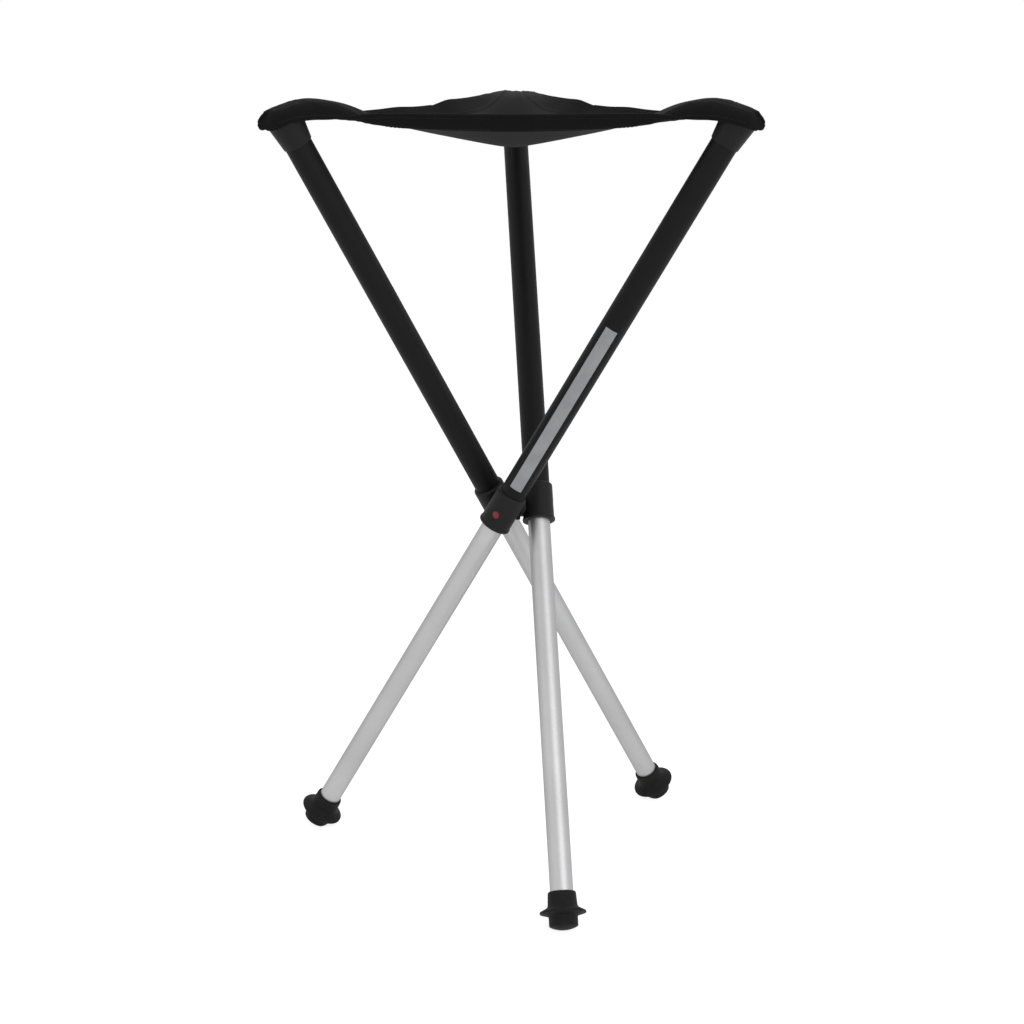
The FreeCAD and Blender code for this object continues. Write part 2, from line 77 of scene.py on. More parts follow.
def leg_matrix(leg):
    """A leg's own millimetre axes in the stool's metres."""
    up = Vector(joints[f"slide_{leg}"]["axis"]).normalized()
    pin = Vector(joints[f"fold_{leg}"]["axis"]).normalized()
    lean = up.cross(pin)
    turn = Matrix((pin, lean, up)).transposed().to_4x4()
    return Matrix.Translation(Vector(joints[f"fold_{leg}"]["pos_m"])) @ turn @ TO_METRES


leg_frames = {leg: leg_matrix(leg) for leg in LEGS}
hub = sum((leg_frames[leg].translation for leg in LEGS), Vector()) / len(LEGS)
print("hub axis at", [round(v / MM, 2) for v in hub])

# %% [markdown]
# ## Camera and studio
#
# The photograph is a catalogue shot: a long lens a little above the seat, a white sweep and
# broad soft lamps. The camera's height, distance and focal length were fitted to the legs and
# feet in the picture. The white background is only what the camera and reflections see; the
# lamps stay at a plain level, so that the black parts keep their colour.

# %% Camera
SENSOR = 36.0
FOCAL_PIXELS = 2035.92
FRAME_PIXELS = 1024
CAMERA_FROM_HUB = Vector((-0.36, -1801.24, 398.66))
CAMERA_DIP = 12.625
camera_data = bpy.data.cameras.new("portrait_camera")
camera_data.sensor_width = SENSOR
camera_data.lens = FOCAL_PIXELS * SENSOR / FRAME_PIXELS
camera = bpy.data.objects.new("portrait_camera", camera_data)
camera.location = hub + CAMERA_FROM_HUB * MM
camera.rotation_euler = (math.radians(90 - CAMERA_DIP), 0, 0)
bpy.context.scene.collection.objects.link(camera)
bpy.context.scene.camera = camera
bpy.context.scene.view_settings.view_transform = "Standard"
print("lens", round(camera_data.lens, 2), "mm")

# %% Colours and nodes
def srgb(code):
    """A hex colour as the linear numbers that shaders use."""
    parts = [int(code[i:i + 2], 16) / 255 for i in (1, 3, 5)]
    linear = [c / 12.92 if c <= 0.04045 else ((c + 0.055) / 1.055) ** 2.4 for c in parts]
    return (*linear, 1.0)


def add_node(tree, kind, links=None, **settings):
    """A shader node with its settings; links and plain values go to named or numbered inputs."""
    node = tree.nodes.new(kind)
    for name, value in settings.items():
        setattr(node, name, value)
    for name, value in (links or {}).items():
        socket = node.inputs[name]
        if isinstance(value, bpy.types.NodeSocket):
            tree.links.new(value, socket)
        else:
            socket.default_value = value
    return node


# %% Studio
def seen_by(tree, *rays):
    """1 where one of the named kinds of ray looks, and 0 for all other light."""
    path = add_node(tree, "ShaderNodeLightPath")
    seen = path.outputs[rays[0]]
    for ray in rays[1:]:
        seen = add_node(tree, "ShaderNodeMath", {0: seen, 1: path.outputs[ray]},
                        operation="MAXIMUM").outputs[0]
    return seen


world = bpy.data.worlds.new("studio")
world.use_nodes = True
bpy.context.scene.world = world
tree = world.node_tree
tree.nodes.clear()
dim = add_node(tree, "ShaderNodeBackground", {"Color": srgb("#f6f6f6"), "Strength": 0.31})
white = add_node(tree, "ShaderNodeBackground", {"Color": (1, 1, 1, 1), "Strength": 1.0})
seen = seen_by(tree, "Is Camera Ray", "Is Glossy Ray", "Is Transmission Ray")
mixed = add_node(tree, "ShaderNodeMixShader", {0: seen, 1: dim.outputs[0], 2: white.outputs[0]})
add_node(tree, "ShaderNodeOutputWorld", {"Surface": mixed.outputs[0]})

# %% Lamps
# Each lamp is a square softbox: its name, place and side in metres, and its power in watts.
LAMPS = (("key", (1.3, -2.2, 1.6), 2.4, 27), ("fill", (-2.2, -1.4, 1.2), 2.4, 5),
         ("top", (0.1, 0.5, 2.2), 1.8, 5))
LAMP_AIM = Vector((0, 0, 0.35))


def softbox(name, place, size, power):
    """A square area lamp that faces the middle of the stool."""
    lamp = bpy.data.lights.new(name, "AREA")
    lamp.shape = "SQUARE"
    lamp.size = size
    lamp.energy = power
    thing = bpy.data.objects.new(name, lamp)
    thing.location = place
    aim = LAMP_AIM - Vector(place)
    thing.rotation_euler = aim.to_track_quat("-Z", "Y").to_euler()
    bpy.context.scene.collection.objects.link(thing)


for lamp in LAMPS:
    softbox(*lamp)
print("lamps", [name for name, *_ in LAMPS])

# %% Floor
FLOOR_SIZE = 14.0
half = FLOOR_SIZE / 2
floor_mesh = bpy.data.meshes.new("floor")
floor_mesh.from_pydata(
    [(-half, -half, 0), (half, -half, 0), (half, half, 0), (-half, half, 0)], [], [(0, 1, 2, 3)])
floor = bpy.data.objects.new("floor", floor_mesh)
bpy.context.scene.collection.objects.link(floor)
paper = bpy.data.materials.new("white_paper_sweep")
paper.use_nodes = True
tree = paper.node_tree
tree.nodes.clear()
# The sweep is a shade of white that shows the contact shadows and nothing else.
matt = add_node(tree, "ShaderNodeBsdfDiffuse", {"Color": srgb("#cccccc")})
glow = add_node(tree, "ShaderNodeEmission", {"Color": (1, 1, 1, 1), "Strength": 0.85})
seen = seen_by(tree, "Is Camera Ray", "Is Glossy Ray")
both = add_node(tree, "ShaderNodeAddShader", {0: matt.outputs[0], 1: glow.outputs[0]})
chosen = add_node(tree, "ShaderNodeMixShader", {0: seen, 1: matt.outputs[0], 2: both.outputs[0]})
add_node(tree, "ShaderNodeOutputMaterial", {"Surface": chosen.outputs[0]})
floor.data.materials.append(paper)
print("floor", FLOOR_SIZE, "m across")

# %% [markdown]
# ## Finishes
#
# Every finish starts from the real material and how its surface was made. `new_material` gives a
# finish its tree and its one shader; `vary` then lets a pattern move a colour or a roughness a
# little, because no real surface is even, and `bumped` presses a fine texture in. Patterns are
# scaled in millimetres: texture coordinates are the stool's metres, so a feature of `size`
# millimetres needs a scale of 1000 / size.

# %% Material helpers
def per_metre(size):
    """The texture scale that makes one feature `size` millimetres wide."""
    return 1 / (size * MM)


def new_material(name, **inputs):
    """A material with one Principled shader, given its plain socket values."""
    material = bpy.data.materials.new(name)
    material.use_nodes = True
    tree = material.node_tree
    tree.nodes.clear()
    shader = add_node(tree, "ShaderNodeBsdfPrincipled", inputs)
    add_node(tree, "ShaderNodeOutputMaterial", {"Surface": shader.outputs[0]})
    return material, tree, shader


def object_noise(tree, size, detail=2.0, roughness=0.5):
    """Cloudy noise on the object's own coordinates, its features `size` millimetres wide."""
    place = add_node(tree, "ShaderNodeTexCoord").outputs["Object"]
    return add_node(tree, "ShaderNodeTexNoise", {
        "Vector": place, "Scale": per_metre(size), "Detail": detail, "Roughness": roughness}
    ).outputs[0]


def between(tree, pattern, low, high, start=0.3, end=0.7):
    """Let a pattern, from start to end, lead from one hex colour or plain value to another."""
    if not isinstance(low, str):
        return add_node(tree, "ShaderNodeMapRange", {
            "Value": pattern, "From Min": start, "From Max": end,
            "To Min": low, "To Max": high}).outputs[0]
    ramp = add_node(tree, "ShaderNodeValToRGB", {0: pattern})
    for index, (position, code) in enumerate(((start, low), (end, high))):
        ramp.color_ramp.elements[index].position = position
        ramp.color_ramp.elements[index].color = srgb(code)
    return ramp.outputs[0]


def vary(tree, shader, name, pattern, *span):
    """Let a pattern move one of the shader's inputs between two values."""
    tree.links.new(between(tree, pattern, *span), shader.inputs[name])


def bumped(tree, shader, height, depth, strength=0.5):
    """Press a height pattern, `depth` millimetres deep, into the shader's surface."""
    bump = add_node(tree, "ShaderNodeBump", {
        "Height": height, "Distance": depth * MM, "Strength": strength})
    tree.links.new(bump.outputs[0], shader.inputs["Normal"])


# %% Black powder-coated aluminium: upper tubes
# Baked powder is a satin paint about 0.08 mm thick with a very fine orange peel.
powder_black, tree, shader = new_material(
    "powder_coated_aluminium_black", **{"IOR": 1.5, "Specular IOR Level": 0.16})
peel = object_noise(tree, 1.4, detail=3)
wear = object_noise(tree, 60, detail=4, roughness=0.6)
vary(tree, shader, "Base Color", wear, "#0c0c0d", "#111112")
vary(tree, shader, "Roughness", wear, 0.52, 0.62)
bumped(tree, shader, peel, 0.03, 0.35)

# %% Silver anodised aluminium: lower tubes
# Drawn tube, chemically matted and clear anodised: a soft pale metal with a fine, even grain.
anodised, tree, shader = new_material("clear_anodised_aluminium", **{
    "Metallic": 1.0, "Specular Tint": srgb("#c4c5c6")})
etch = object_noise(tree, 0.9, detail=3)
cloud = object_noise(tree, 90, detail=3)
vary(tree, shader, "Base Color", cloud, "#afafb0", "#bababb")
vary(tree, shader, "Roughness", etch, 0.42, 0.52)
bumped(tree, shader, etch, 0.01, 0.2)

# %% Black glass-filled nylon: collars, caps and the hub
# Moulded with a fine spark-eroded texture, which reads as an even matt grey-black.
nylon_black, tree, shader = new_material(
    "glass_filled_nylon_black", **{"IOR": 1.53, "Specular IOR Level": 0.2})
grain = object_noise(tree, 0.8, detail=2)
cloud = object_noise(tree, 22, detail=3)
vary(tree, shader, "Base Color", cloud, "#101011", "#161617")
vary(tree, shader, "Roughness", grain, 0.5, 0.62)
bumped(tree, shader, grain, 0.05, 0.4)

# %% Red nylon: push buttons
# Gloss from a polished mould, so one small window of light sits on the crown.
nylon_red, tree, shader = new_material("polished_nylon_red", IOR=1.53)
cloud = object_noise(tree, 5, detail=2)
vary(tree, shader, "Base Color", cloud, "#86121f", "#981826")
vary(tree, shader, "Roughness", cloud, 0.26, 0.36)

# %% Natural acetal: guide bushes
acetal, tree, shader = new_material("acetal_natural", IOR=1.48)
cloud = object_noise(tree, 4, detail=2)
vary(tree, shader, "Base Color", cloud, "#dcdad2", "#e8e6df")
vary(tree, shader, "Roughness", cloud, 0.38, 0.5)

# %% Zinc-plated steel: pivot screws and snap springs
steel, tree, shader = new_material("zinc_plated_steel", Metallic=1.0)
cloud = object_noise(tree, 3, detail=3)
vary(tree, shader, "Base Color", cloud, "#a9adb3", "#c2c6cb")
vary(tree, shader, "Roughness", cloud, 0.26, 0.42)

# %% Black rubber: feet
# Compression-moulded rubber: dull, a touch dusty on the parts that meet the ground.
rubber, tree, shader = new_material(
    "moulded_rubber_black", **{"IOR": 1.52, "Specular IOR Level": 0.2})
dust = object_noise(tree, 9, detail=5, roughness=0.65)
pores = object_noise(tree, 0.7, detail=2)
vary(tree, shader, "Base Color", dust, "#0e0e0e", "#1a1918", 0.35, 0.8)
vary(tree, shader, "Roughness", dust, 0.62, 0.8)
bumped(tree, shader, pores, 0.06, 0.5)

# %% Black woven polyester: the seat
# A close plain weave of matt black yarn, about 0.55 mm to the thread. The weave coordinates are
# metres on the cloth laid flat, so that threads bend with the seat and cross the joins.
THREAD_PITCH = 0.55


def weave_wave(tree, place, axis):
    """One family of threads: a wave across one weave coordinate."""
    split = add_node(tree, "ShaderNodeSeparateXYZ", {0: place})
    turns = add_node(tree, "ShaderNodeMath", {
        0: split.outputs[axis], 1: math.tau / (2 * THREAD_PITCH * MM)}, operation="MULTIPLY")
    return add_node(tree, "ShaderNodeMath", {0: turns.outputs[0]}, operation="SINE").outputs[0]


fabric, tree, shader = new_material("woven_polyester_black", **{
    "IOR": 1.5, "Specular IOR Level": 0.14, "Sheen Weight": 0.03, "Sheen Roughness": 0.5})
place = add_node(tree, "ShaderNodeUVMap", uv_map="cloth").outputs[0]
over = add_node(tree, "ShaderNodeMath", {
    0: weave_wave(tree, place, 0), 1: weave_wave(tree, place, 1)}, operation="MULTIPLY")
height = between(tree, over.outputs[0], 0.0, 1.0, -1.0, 1.0)
fading = add_node(tree, "ShaderNodeTexNoise", {
    "Vector": place, "Scale": per_metre(38), "Detail": 4.0, "Roughness": 0.6})
cloud = between(tree, fading.outputs[0], "#101011", "#171719")
# Painted shade: the hollows between the threads are coloured darker than the tops of the threads.
weave_with_painted_shade = add_node(tree, "ShaderNodeMix", {0: height, 6: srgb("#0a0a0b"), 7: cloud},
                data_type="RGBA").outputs[2]
tree.links.new(weave_with_painted_shade, shader.inputs["Base Color"])
vary(tree, shader, "Roughness", height, 0.78, 0.9, 0.0, 1.0)
bumped(tree, shader, height, 0.12, 0.35)

# %% Bonded polyester thread: stitches
thread, tree, shader = new_material("bonded_polyester_thread", **{
    "IOR": 1.5, "Specular IOR Level": 0.2})
twist = object_noise(tree, 0.5, detail=2)
vary(tree, shader, "Base Color", twist, "#141415", "#1e1e20")
vary(tree, shader, "Roughness", twist, 0.5, 0.66)

# %% Silvered polyester film: the bare label
label_film, tree, shader = new_material("silvered_polyester_film", Metallic=0.6)
cloud = object_noise(tree, 14, detail=2)
vary(tree, shader, "Base Color", cloud, "#8e9093", "#9b9da0")
vary(tree, shader, "Roughness", cloud, 0.36, 0.46)

# %% Dress the CAD nodes
FINISHES = {
    "hub_core": nylon_black, "leg_collar": nylon_black, "end_cap": nylon_black,
    "upper_tube": powder_black, "lower_tube": anodised, "release_button": nylon_red,
    "guide_bush": acetal, "snap_spring": steel, "pivot_screw": steel, "foot": rubber,
}
dressed = []
for name, node in frame["nodes"].items():
    finish = next((FINISHES[kind] for kind in FINISHES if name.startswith(kind)), None)
    if finish:
        node.data.materials.clear()
        node.data.materials.append(finish)
        dressed.append(name)
print("dressed", len(dressed), "nodes from the CAD model")

# %% [markdown]
# ## Turned and moulded pieces on the legs
#
# Most of a leg is round: tubes, collar, cap, foot and button. Each is turned from a profile of
# (radius, height, fillet) corners in millimetres, because a real moulded or drawn edge is never
# sharp: the small fillets are what catches the light. The profile is turned about the pole, or
# about the pivot line for the collar's boss, the button and its well.

# %% Turning helpers
SIDES = 96
POLE = Matrix.Identity(4)
PIN = Matrix.Rotation(math.radians(90), 4, "Y")
SHARP = math.radians(32)
ON_AXIS = 1e-6


def rounded(corners, steps=4):
    """Profile points in which every corner (radius, height, fillet) is rounded by its fillet."""
    points = []
    for index, (radius, height, fillet) in enumerate(corners):
        here = Vector((radius, height))
        if not fillet:
            points.append(here)
            continue
        before = (Vector(corners[index - 1][:2]) - here).normalized() * fillet
        after = (Vector(corners[(index + 1) % len(corners)][:2]) - here).normalized() * fillet
        for step in range(steps + 1):
            t = step / steps
            points.append(here + before * (1 - t) ** 2 + after * t * t)
    return points


def arc(start, end, steps):
    """Plain corners along an arc whose centre is on the axis, between two profile points."""
    (r1, z1), (r2, z2) = start, end
    centre = (r1 * r1 + z1 * z1 - r2 * r2 - z2 * z2) / (2 * (z1 - z2))
    first, last = math.atan2(r1, z1 - centre), math.atan2(r2, z2 - centre)
    radius = math.hypot(r1, z1 - centre)
    turns = [first + (last - first) * i / steps for i in range(1, steps)]
    return [(radius * math.sin(a), centre + radius * math.cos(a), 0) for a in turns]


def add_mesh(name, points, faces, uvs=None):
    """An object from points in metres, smooth where the surface bends gently."""
    mesh = bpy.data.meshes.new(name)
    mesh.from_pydata(points, [], faces)
    if uvs is not None:
        layer = mesh.uv_layers.new(name="cloth")
        layer.data.foreach_set("uv", np.asarray(uvs, np.float32).ravel())
    bm = bmesh.new()
    bm.from_mesh(mesh)
    bmesh.ops.recalc_face_normals(bm, faces=bm.faces)
    bm.to_mesh(mesh)
    bm.free()
    mesh.shade_smooth()
    mesh.set_sharp_from_angle(angle=SHARP)
    thing = bpy.data.objects.new(name, mesh)
    bpy.context.scene.collection.objects.link(thing)
    return thing


def turned(name, leg, corners, about=POLE, sides=SIDES):
    """Turn a profile about the pole or the pin; the UV map holds metres round and along it."""
    profile = rounded(corners)
    closed = profile[0].x > ON_AXIS
    axes = leg_frames[leg] @ about
    points, rings = [], []
    for point in profile:
        if point.x < ON_AXIS:
            rings.append([len(points)] * sides)
            points.append(axes @ Vector((0, 0, point.y)))
            continue
        rings.append(list(range(len(points), len(points) + sides)))
        for side in range(sides):
            turn = math.tau * side / sides
            x, y = point.x * math.cos(turn), point.x * math.sin(turn)
            points.append(axes @ Vector((x, y, point.y)))
    faces, uvs = [], []
    widest = max(point.x for point in profile) * MM
    pairs = list(zip(range(len(rings)), list(range(1, len(rings))) + ([0] if closed else [])))
    for low, high in pairs:
        for side in range(sides):
            after = (side + 1) % sides
            ids = [rings[low][side], rings[low][after], rings[high][after], rings[high][side]]
            across = [side, side + 1, side + 1, side]
            along = [profile[low].y, profile[low].y, profile[high].y, profile[high].y]
            kept = [k for k in range(4) if ids[k] != ids[k - 1]]
            faces.append([ids[k] for k in kept])
            uvs += [(across[k] / sides * math.tau * widest, along[k] * MM) for k in kept]
    return add_mesh(name, points, faces, uvs)


def combine(thing, tool, operation):
    """Join a turned tool to a piece or cut it out, and keep the resulting mesh."""
    change = thing.modifiers.new(operation, "BOOLEAN")
    change.operation, change.object, change.solver = operation, tool, "EXACT"
    bpy.context.view_layer.update()
    result = thing.evaluated_get(bpy.context.evaluated_depsgraph_get())
    mesh = bpy.data.meshes.new_from_object(result)
    thing.modifiers.clear()
    thing.data = mesh
    thing.data.shade_smooth()
    thing.data.set_sharp_from_angle(angle=SHARP)
    bpy.data.objects.remove(tool)


def finished(thing, finish, slot, body, *nodes):
    """Give a piece its finish and let it stand for CAD nodes on their body; `slot` is not used."""
    thing.data.materials.clear()
    thing.data.materials.append(finish)
    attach(thing, body)
    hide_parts(*nodes)


# %% [markdown]
# ### Tubes
# The sizes are those of the CAD model, measured along the pole from the pivot. Drawn tube is cut
# and deburred, so both ends have a small fillet.

# %% Tubes
UPPER_R, UPPER_BORE = 11.7, 10.7
LOWER_R, LOWER_BORE = 10.0, 8.5
UPPER_START, UPPER_TOP = 5.05, 397.0
FOOT_END = 380.3
LOWER_START, LOWER_TOP = -362.3, 36.8
TUBE_PARTS, TUBE_SIDES = 6, 128
OUTER_FILLET, BORE_FILLET = 0.3, 0.2


def tube(name, leg, outside, bore, start, end):
    """A tube with deburred ends, in a few lengths so that no face is very long."""
    middles = [(outside, start + (end - start) * k / TUBE_PARTS, 0) for k in range(1, TUBE_PARTS)]
    return turned(name, leg, [
        (bore, start, BORE_FILLET), (outside, start, OUTER_FILLET), *middles,
        (outside, end, OUTER_FILLET), (bore, end, BORE_FILLET)], sides=TUBE_SIDES)


for leg in LEGS:
    upper = tube(f"upper_tube_piece_{leg}", leg, UPPER_R, UPPER_BORE, UPPER_START, UPPER_TOP)
    finished(upper, powder_black, "black_tube", f"leg_{leg}", f"upper_tube_{leg}")
    lower = tube(f"lower_tube_piece_{leg}", leg, LOWER_R, LOWER_BORE, LOWER_START, LOWER_TOP)
    finished(lower, anodised, "silver_tube", f"lower_{leg}", f"lower_tube_{leg}")
print("tubes", UPPER_R * 2, "and", LOWER_R * 2, "mm")

# %% [markdown]
# ### Collars
# A collar is one nylon moulding: a sleeve with a lip at its lower end, a boss that turns on the
# hub's pin, and on the other side the button's well with a dished mouth. The boss is turned about
# the pin and joined to the sleeve; then the pin's hole and the well are cut.

# %% Collars and buttons
COLLAR_R, LIP_R, COLLAR_LOW, COLLAR_TOP = 14.1, 14.8, -14.0, 21.0
LIP_HEIGHT, LIP_SLOPE_HEIGHT, TOP_BEVEL = 2.2, 2.8, 1.6
BORE_R, SOCKET_R, LEDGE = 10.14, 11.75, 5.0
BOSS_R, BOSS_REACH, INTO_WALL = 9.0, 17.0, 11.9
# The screw's hole: the shank's part outside and the head's part inside, out to past the boss.
SHANK_HOLE_R, HEAD_HOLE_R, HEAD_SEAT, OVERRUN = 3.06, 4.56, 12.2, 1.0
# Reaches along the pin, from the pole's axis; the well starts inside the tube's bore.
INSIDE_BORE, BUTTON_BASE, WELL_SHOULDER, CROWN_REACH = 8.0, 12.85, 13.05, 13.7
WELL_R, MOUTH_R, CROWN_R, BUTTON_FLANGE_R = 3.46, 4.7, 2.75, 4.3
FLANGE_PLAY_ROUND, FLANGE_PLAY_OUT, CROWN_RISE = 0.06, 0.05, 0.45
# The well's mouth is dished: it opens over these depths below and above the collar's face.
DISH_START, DISH_LIP, DISH_OUT = 0.6, 0.3, 0.6

for leg in LEGS:
    collar = turned(f"collar_piece_{leg}", leg, [
        (BORE_R, COLLAR_LOW, 0.4), (LIP_R, COLLAR_LOW, 0.5),
        (LIP_R, COLLAR_LOW + LIP_HEIGHT, 0.45), (COLLAR_R, COLLAR_LOW + LIP_SLOPE_HEIGHT, 0.4),
        (COLLAR_R, COLLAR_TOP - TOP_BEVEL, 0.8), (COLLAR_R - TOP_BEVEL, COLLAR_TOP, 0.7),
        (SOCKET_R, COLLAR_TOP, 0.3), (SOCKET_R, LEDGE, 0), (BORE_R, LEDGE, 0)])
    boss = turned("boss", leg, [
        (0, -INTO_WALL, 0), (BOSS_R, -INTO_WALL, 0), (BOSS_R, -BOSS_REACH, 0.5),
        (0, -BOSS_REACH, 0)], PIN)
    combine(collar, boss, "UNION")
    flange_well = BUTTON_FLANGE_R + FLANGE_PLAY_ROUND
    well = turned("well", leg, [
        (0, INSIDE_BORE, 0), (flange_well, INSIDE_BORE, 0), (flange_well, WELL_SHOULDER, 0),
        (WELL_R, WELL_SHOULDER, 0), (WELL_R, COLLAR_R - DISH_START, 0),
        (MOUTH_R, COLLAR_R - DISH_LIP, 0), (MOUTH_R + DISH_OUT, COLLAR_R + DISH_OUT, 0),
        (0, COLLAR_R + DISH_OUT, 0)], PIN)
    combine(collar, well, "DIFFERENCE")
    hole_end = -BOSS_REACH - OVERRUN
    hole = turned("pin hole", leg, [
        (0, hole_end, 0), (SHANK_HOLE_R, hole_end, 0), (SHANK_HOLE_R, -HEAD_SEAT, 0),
        (HEAD_HOLE_R, -HEAD_SEAT, 0), (HEAD_HOLE_R, -INSIDE_BORE, 0), (0, -INSIDE_BORE, 0)], PIN)
    combine(collar, hole, "DIFFERENCE")
    finished(collar, nylon_black, "black_plastic", f"leg_{leg}", f"leg_collar_{leg}")

    flange_face = WELL_SHOULDER - FLANGE_PLAY_OUT
    crown_low, crown_top = (CROWN_R, CROWN_REACH - CROWN_RISE), (0, CROWN_REACH)
    button = turned(f"button_piece_{leg}", leg, [
        (0, BUTTON_BASE, 0), (BUTTON_FLANGE_R, BUTTON_BASE, 0), (BUTTON_FLANGE_R, flange_face, 0),
        (CROWN_R, flange_face, 0), (*crown_low, 0.2), *arc(crown_low, crown_top, 8),
        (*crown_top, 0)], PIN)
    finished(button, nylon_red, "red_button", f"button_{leg}", f"release_button_{leg}")
print("collar", len(collar.data.polygons), "faces")

# %% [markdown]
# ### End caps and feet
# The cap's sleeve flares over the tube's end and closes in a crown, which the seat's corner sits
# on. The foot is compression-moulded rubber: a socket, a fin-like flange and a crowned sole with
# a flat where it has been pressed to the ground.

# %% End caps and feet
CAP_R, CAP_RIM, CAP_TOP = 16.0, 412.0, 419.0
SLEEVE_R, SLEEVE_LOW = 12.65, 385.0
PLUG_R, PLUG_BORE, PLUG_LOW, PLUG_SEAT = 10.65, 8.65, 372.0, 397.05
CROWN_HOLE_R = 0.02
SOLE_R, SOLE_CROWN = 12.5, 26.0
# The flange's slopes start and end these heights under and over its place on the foot.
FLANGE_R, FLANGE_AT = 20.0, 15.0
FLANGE_UNDER, EDGE_UNDER, EDGE_OVER, FLANGE_OVER, NECK_OUT = 3.2, 1.1, 0.7, 4.4, 0.4
FOOT_TOP, FOOT_TOP_R, FOOT_BORE_R, FOOT_BORE_LOW = 32.6, 12.1, 10.03, 18.0

for leg in LEGS:
    cap = turned(f"cap_piece_{leg}", leg, [
        (PLUG_BORE, PLUG_LOW, 0.3), (PLUG_R, PLUG_LOW, 0.5), (PLUG_R, PLUG_SEAT, 0),
        (SOCKET_R, PLUG_SEAT, 0), (SOCKET_R, SLEEVE_LOW, 0.2), (SLEEVE_R, SLEEVE_LOW, 0.4),
        (CAP_R, CAP_RIM, 1.2), *arc((CAP_R, CAP_RIM), (CROWN_HOLE_R, CAP_TOP), 12),
        (CROWN_HOLE_R, CAP_TOP, 0), (CROWN_HOLE_R, CAP_RIM, 0), (PLUG_BORE, CAP_RIM, 0)])
    finished(cap, nylon_black, "black_plastic", f"leg_{leg}", f"end_cap_{leg}")

    edge_height = SOLE_CROWN - math.sqrt(SOLE_CROWN ** 2 - SOLE_R ** 2)
    corners = [
        (0, 0, 0), *arc((0, 0), (SOLE_R, edge_height), 12), (SOLE_R, edge_height, 0.9),
        (SOLE_R, FLANGE_AT - FLANGE_UNDER, 1.4), (FLANGE_R, FLANGE_AT - EDGE_UNDER, 0.8),
        (FLANGE_R, FLANGE_AT + EDGE_OVER, 0.8), (SOLE_R + NECK_OUT, FLANGE_AT + FLANGE_OVER, 2.2),
        (FOOT_TOP_R, FOOT_TOP, 1.9), (FOOT_BORE_R, FOOT_TOP, 0.15),
        (FOOT_BORE_R, FOOT_BORE_LOW, 0), (0, FOOT_BORE_LOW, 0)]
    foot = turned(f"foot_piece_{leg}", leg, [(r, h - FOOT_END, f) for r, h, f in corners])
    # The sole is pressed flat where it meets the ground.
    for vertex in foot.data.vertices:
        vertex.co.z = max(vertex.co.z, 0.0)
    finished(foot, rubber, "rubber", f"lower_{leg}", f"foot_{leg}")
print("foot flange", FLANGE_R * 2, "mm, cap", CAP_R * 2, "mm")

# %% [markdown]
# ### Label strip
# A thin strip of silvery film along the tube that faces the camera. Its place is kept and its
# face is left bare.

# %% Label
LABEL_START, LABEL_END, LABEL_TURN, LABEL_HALF = 30.0, 202.0, 14.5, 28.0
LABEL_LOW, LABEL_HIGH = UPPER_R + 0.02, UPPER_R + 0.16
steps_round, steps_along = 14, 40
points, faces = [], []
for level in (LABEL_LOW, LABEL_HIGH):
    for i in range(steps_along + 1):
        for j in range(steps_round + 1):
            turn = math.radians(LABEL_TURN + LABEL_HALF * (2 * j / steps_round - 1))
            height = LABEL_START + (LABEL_END - LABEL_START) * i / steps_along
            points.append(leg_frames["right"] @ Vector(
                (level * math.cos(turn), level * math.sin(turn), height)))
row = steps_round + 1
under = row * (steps_along + 1)
for i in range(steps_along):
    for j in range(steps_round):
        a = i * row + j
        faces.append((a, a + row, a + row + 1, a + 1))
        faces.append((a + under, a + under + 1, a + under + row + 1, a + under + row))
rim = ([(0, j) for j in range(steps_round)] + [(i, steps_round) for i in range(steps_along)]
       + [(steps_along, j) for j in range(steps_round, 0, -1)]
       + [(i, 0) for i in range(steps_along, 0, -1)])
for (i1, j1), (i2, j2) in zip(rim, rim[1:] + rim[:1]):
    a, b = i1 * row + j1, i2 * row + j2
    faces.append((a, b, b + under, a + under))
label = add_mesh("label_strip", points, faces)
label.data.materials.append(label_film)
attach(label, "leg_right")
print("label", LABEL_END - LABEL_START, "mm long")

# %% [markdown]
# ## The seat
#
# The seat is one black woven panel with doubled hems, held at three corners and pulled tight.
# A cloth held like this is a saddle: its middle hangs, the edges curve inward and stand up as a
# band, and toward each corner the cloth arches over the cap as a tent. The hem turns from a
# standing lip in the middle to the tent's lower edge at the corner.
#
# The seat is drawn in sixths, one to each side of each corner line (hub to corner). Rows run from
# the corner line, at `p` millimetres from the hub's axis, out to the hem. A few curves give the
# heights, in millimetres above the floor; they were fitted to the photograph's outline with the
# camera above, so the front, side and rear of the seat each have their own.

# %% Curve helpers
# The height of the pivots that the seat's heights below were read with.
PIVOT_READ = 325.43
# The seat's middle, and the distance over which it is nearly flat.
CENTRE_HEIGHT, CENTRE_FLAT = 647.0, 12.0
# The slope of the hanging middle toward a corner.
SLOPE_CORNER = 0.2
# The fold between panel and hem, at the middle of an edge: from the axis, and by its `p`.
FOLD_DISTANCE, FOLD_PLACE = 75.0, 37.5


def curve(*knots):
    """A smooth function through (position, value) knots."""
    x, y = np.array(knots, float).T
    slope = np.gradient(y, x)

    def value(at):
        at = np.clip(at, x[0], x[-1])
        i = np.clip(np.searchsorted(x, at) - 1, 0, len(x) - 2)
        h = x[i + 1] - x[i]
        t = (at - x[i]) / h
        return (y[i] * (1 + 2 * t) * (1 - t) ** 2 + slope[i] * h * t * (1 - t) ** 2
                + y[i + 1] * t * t * (3 - 2 * t) + slope[i + 1] * h * t * t * (t - 1))

    return value


def fade(at, start, end):
    """0 before the start, 1 after the end and a soft change between."""
    t = np.clip((at - start) / (end - start), 0, 1)
    return t * t * (3 - 2 * t)


def hang(distance, steepness):
    """The middle's hanging form: flat at first and then an even slope."""
    return CENTRE_HEIGHT + steepness * (np.sqrt(distance ** 2 + CENTRE_FLAT ** 2) - CENTRE_FLAT)


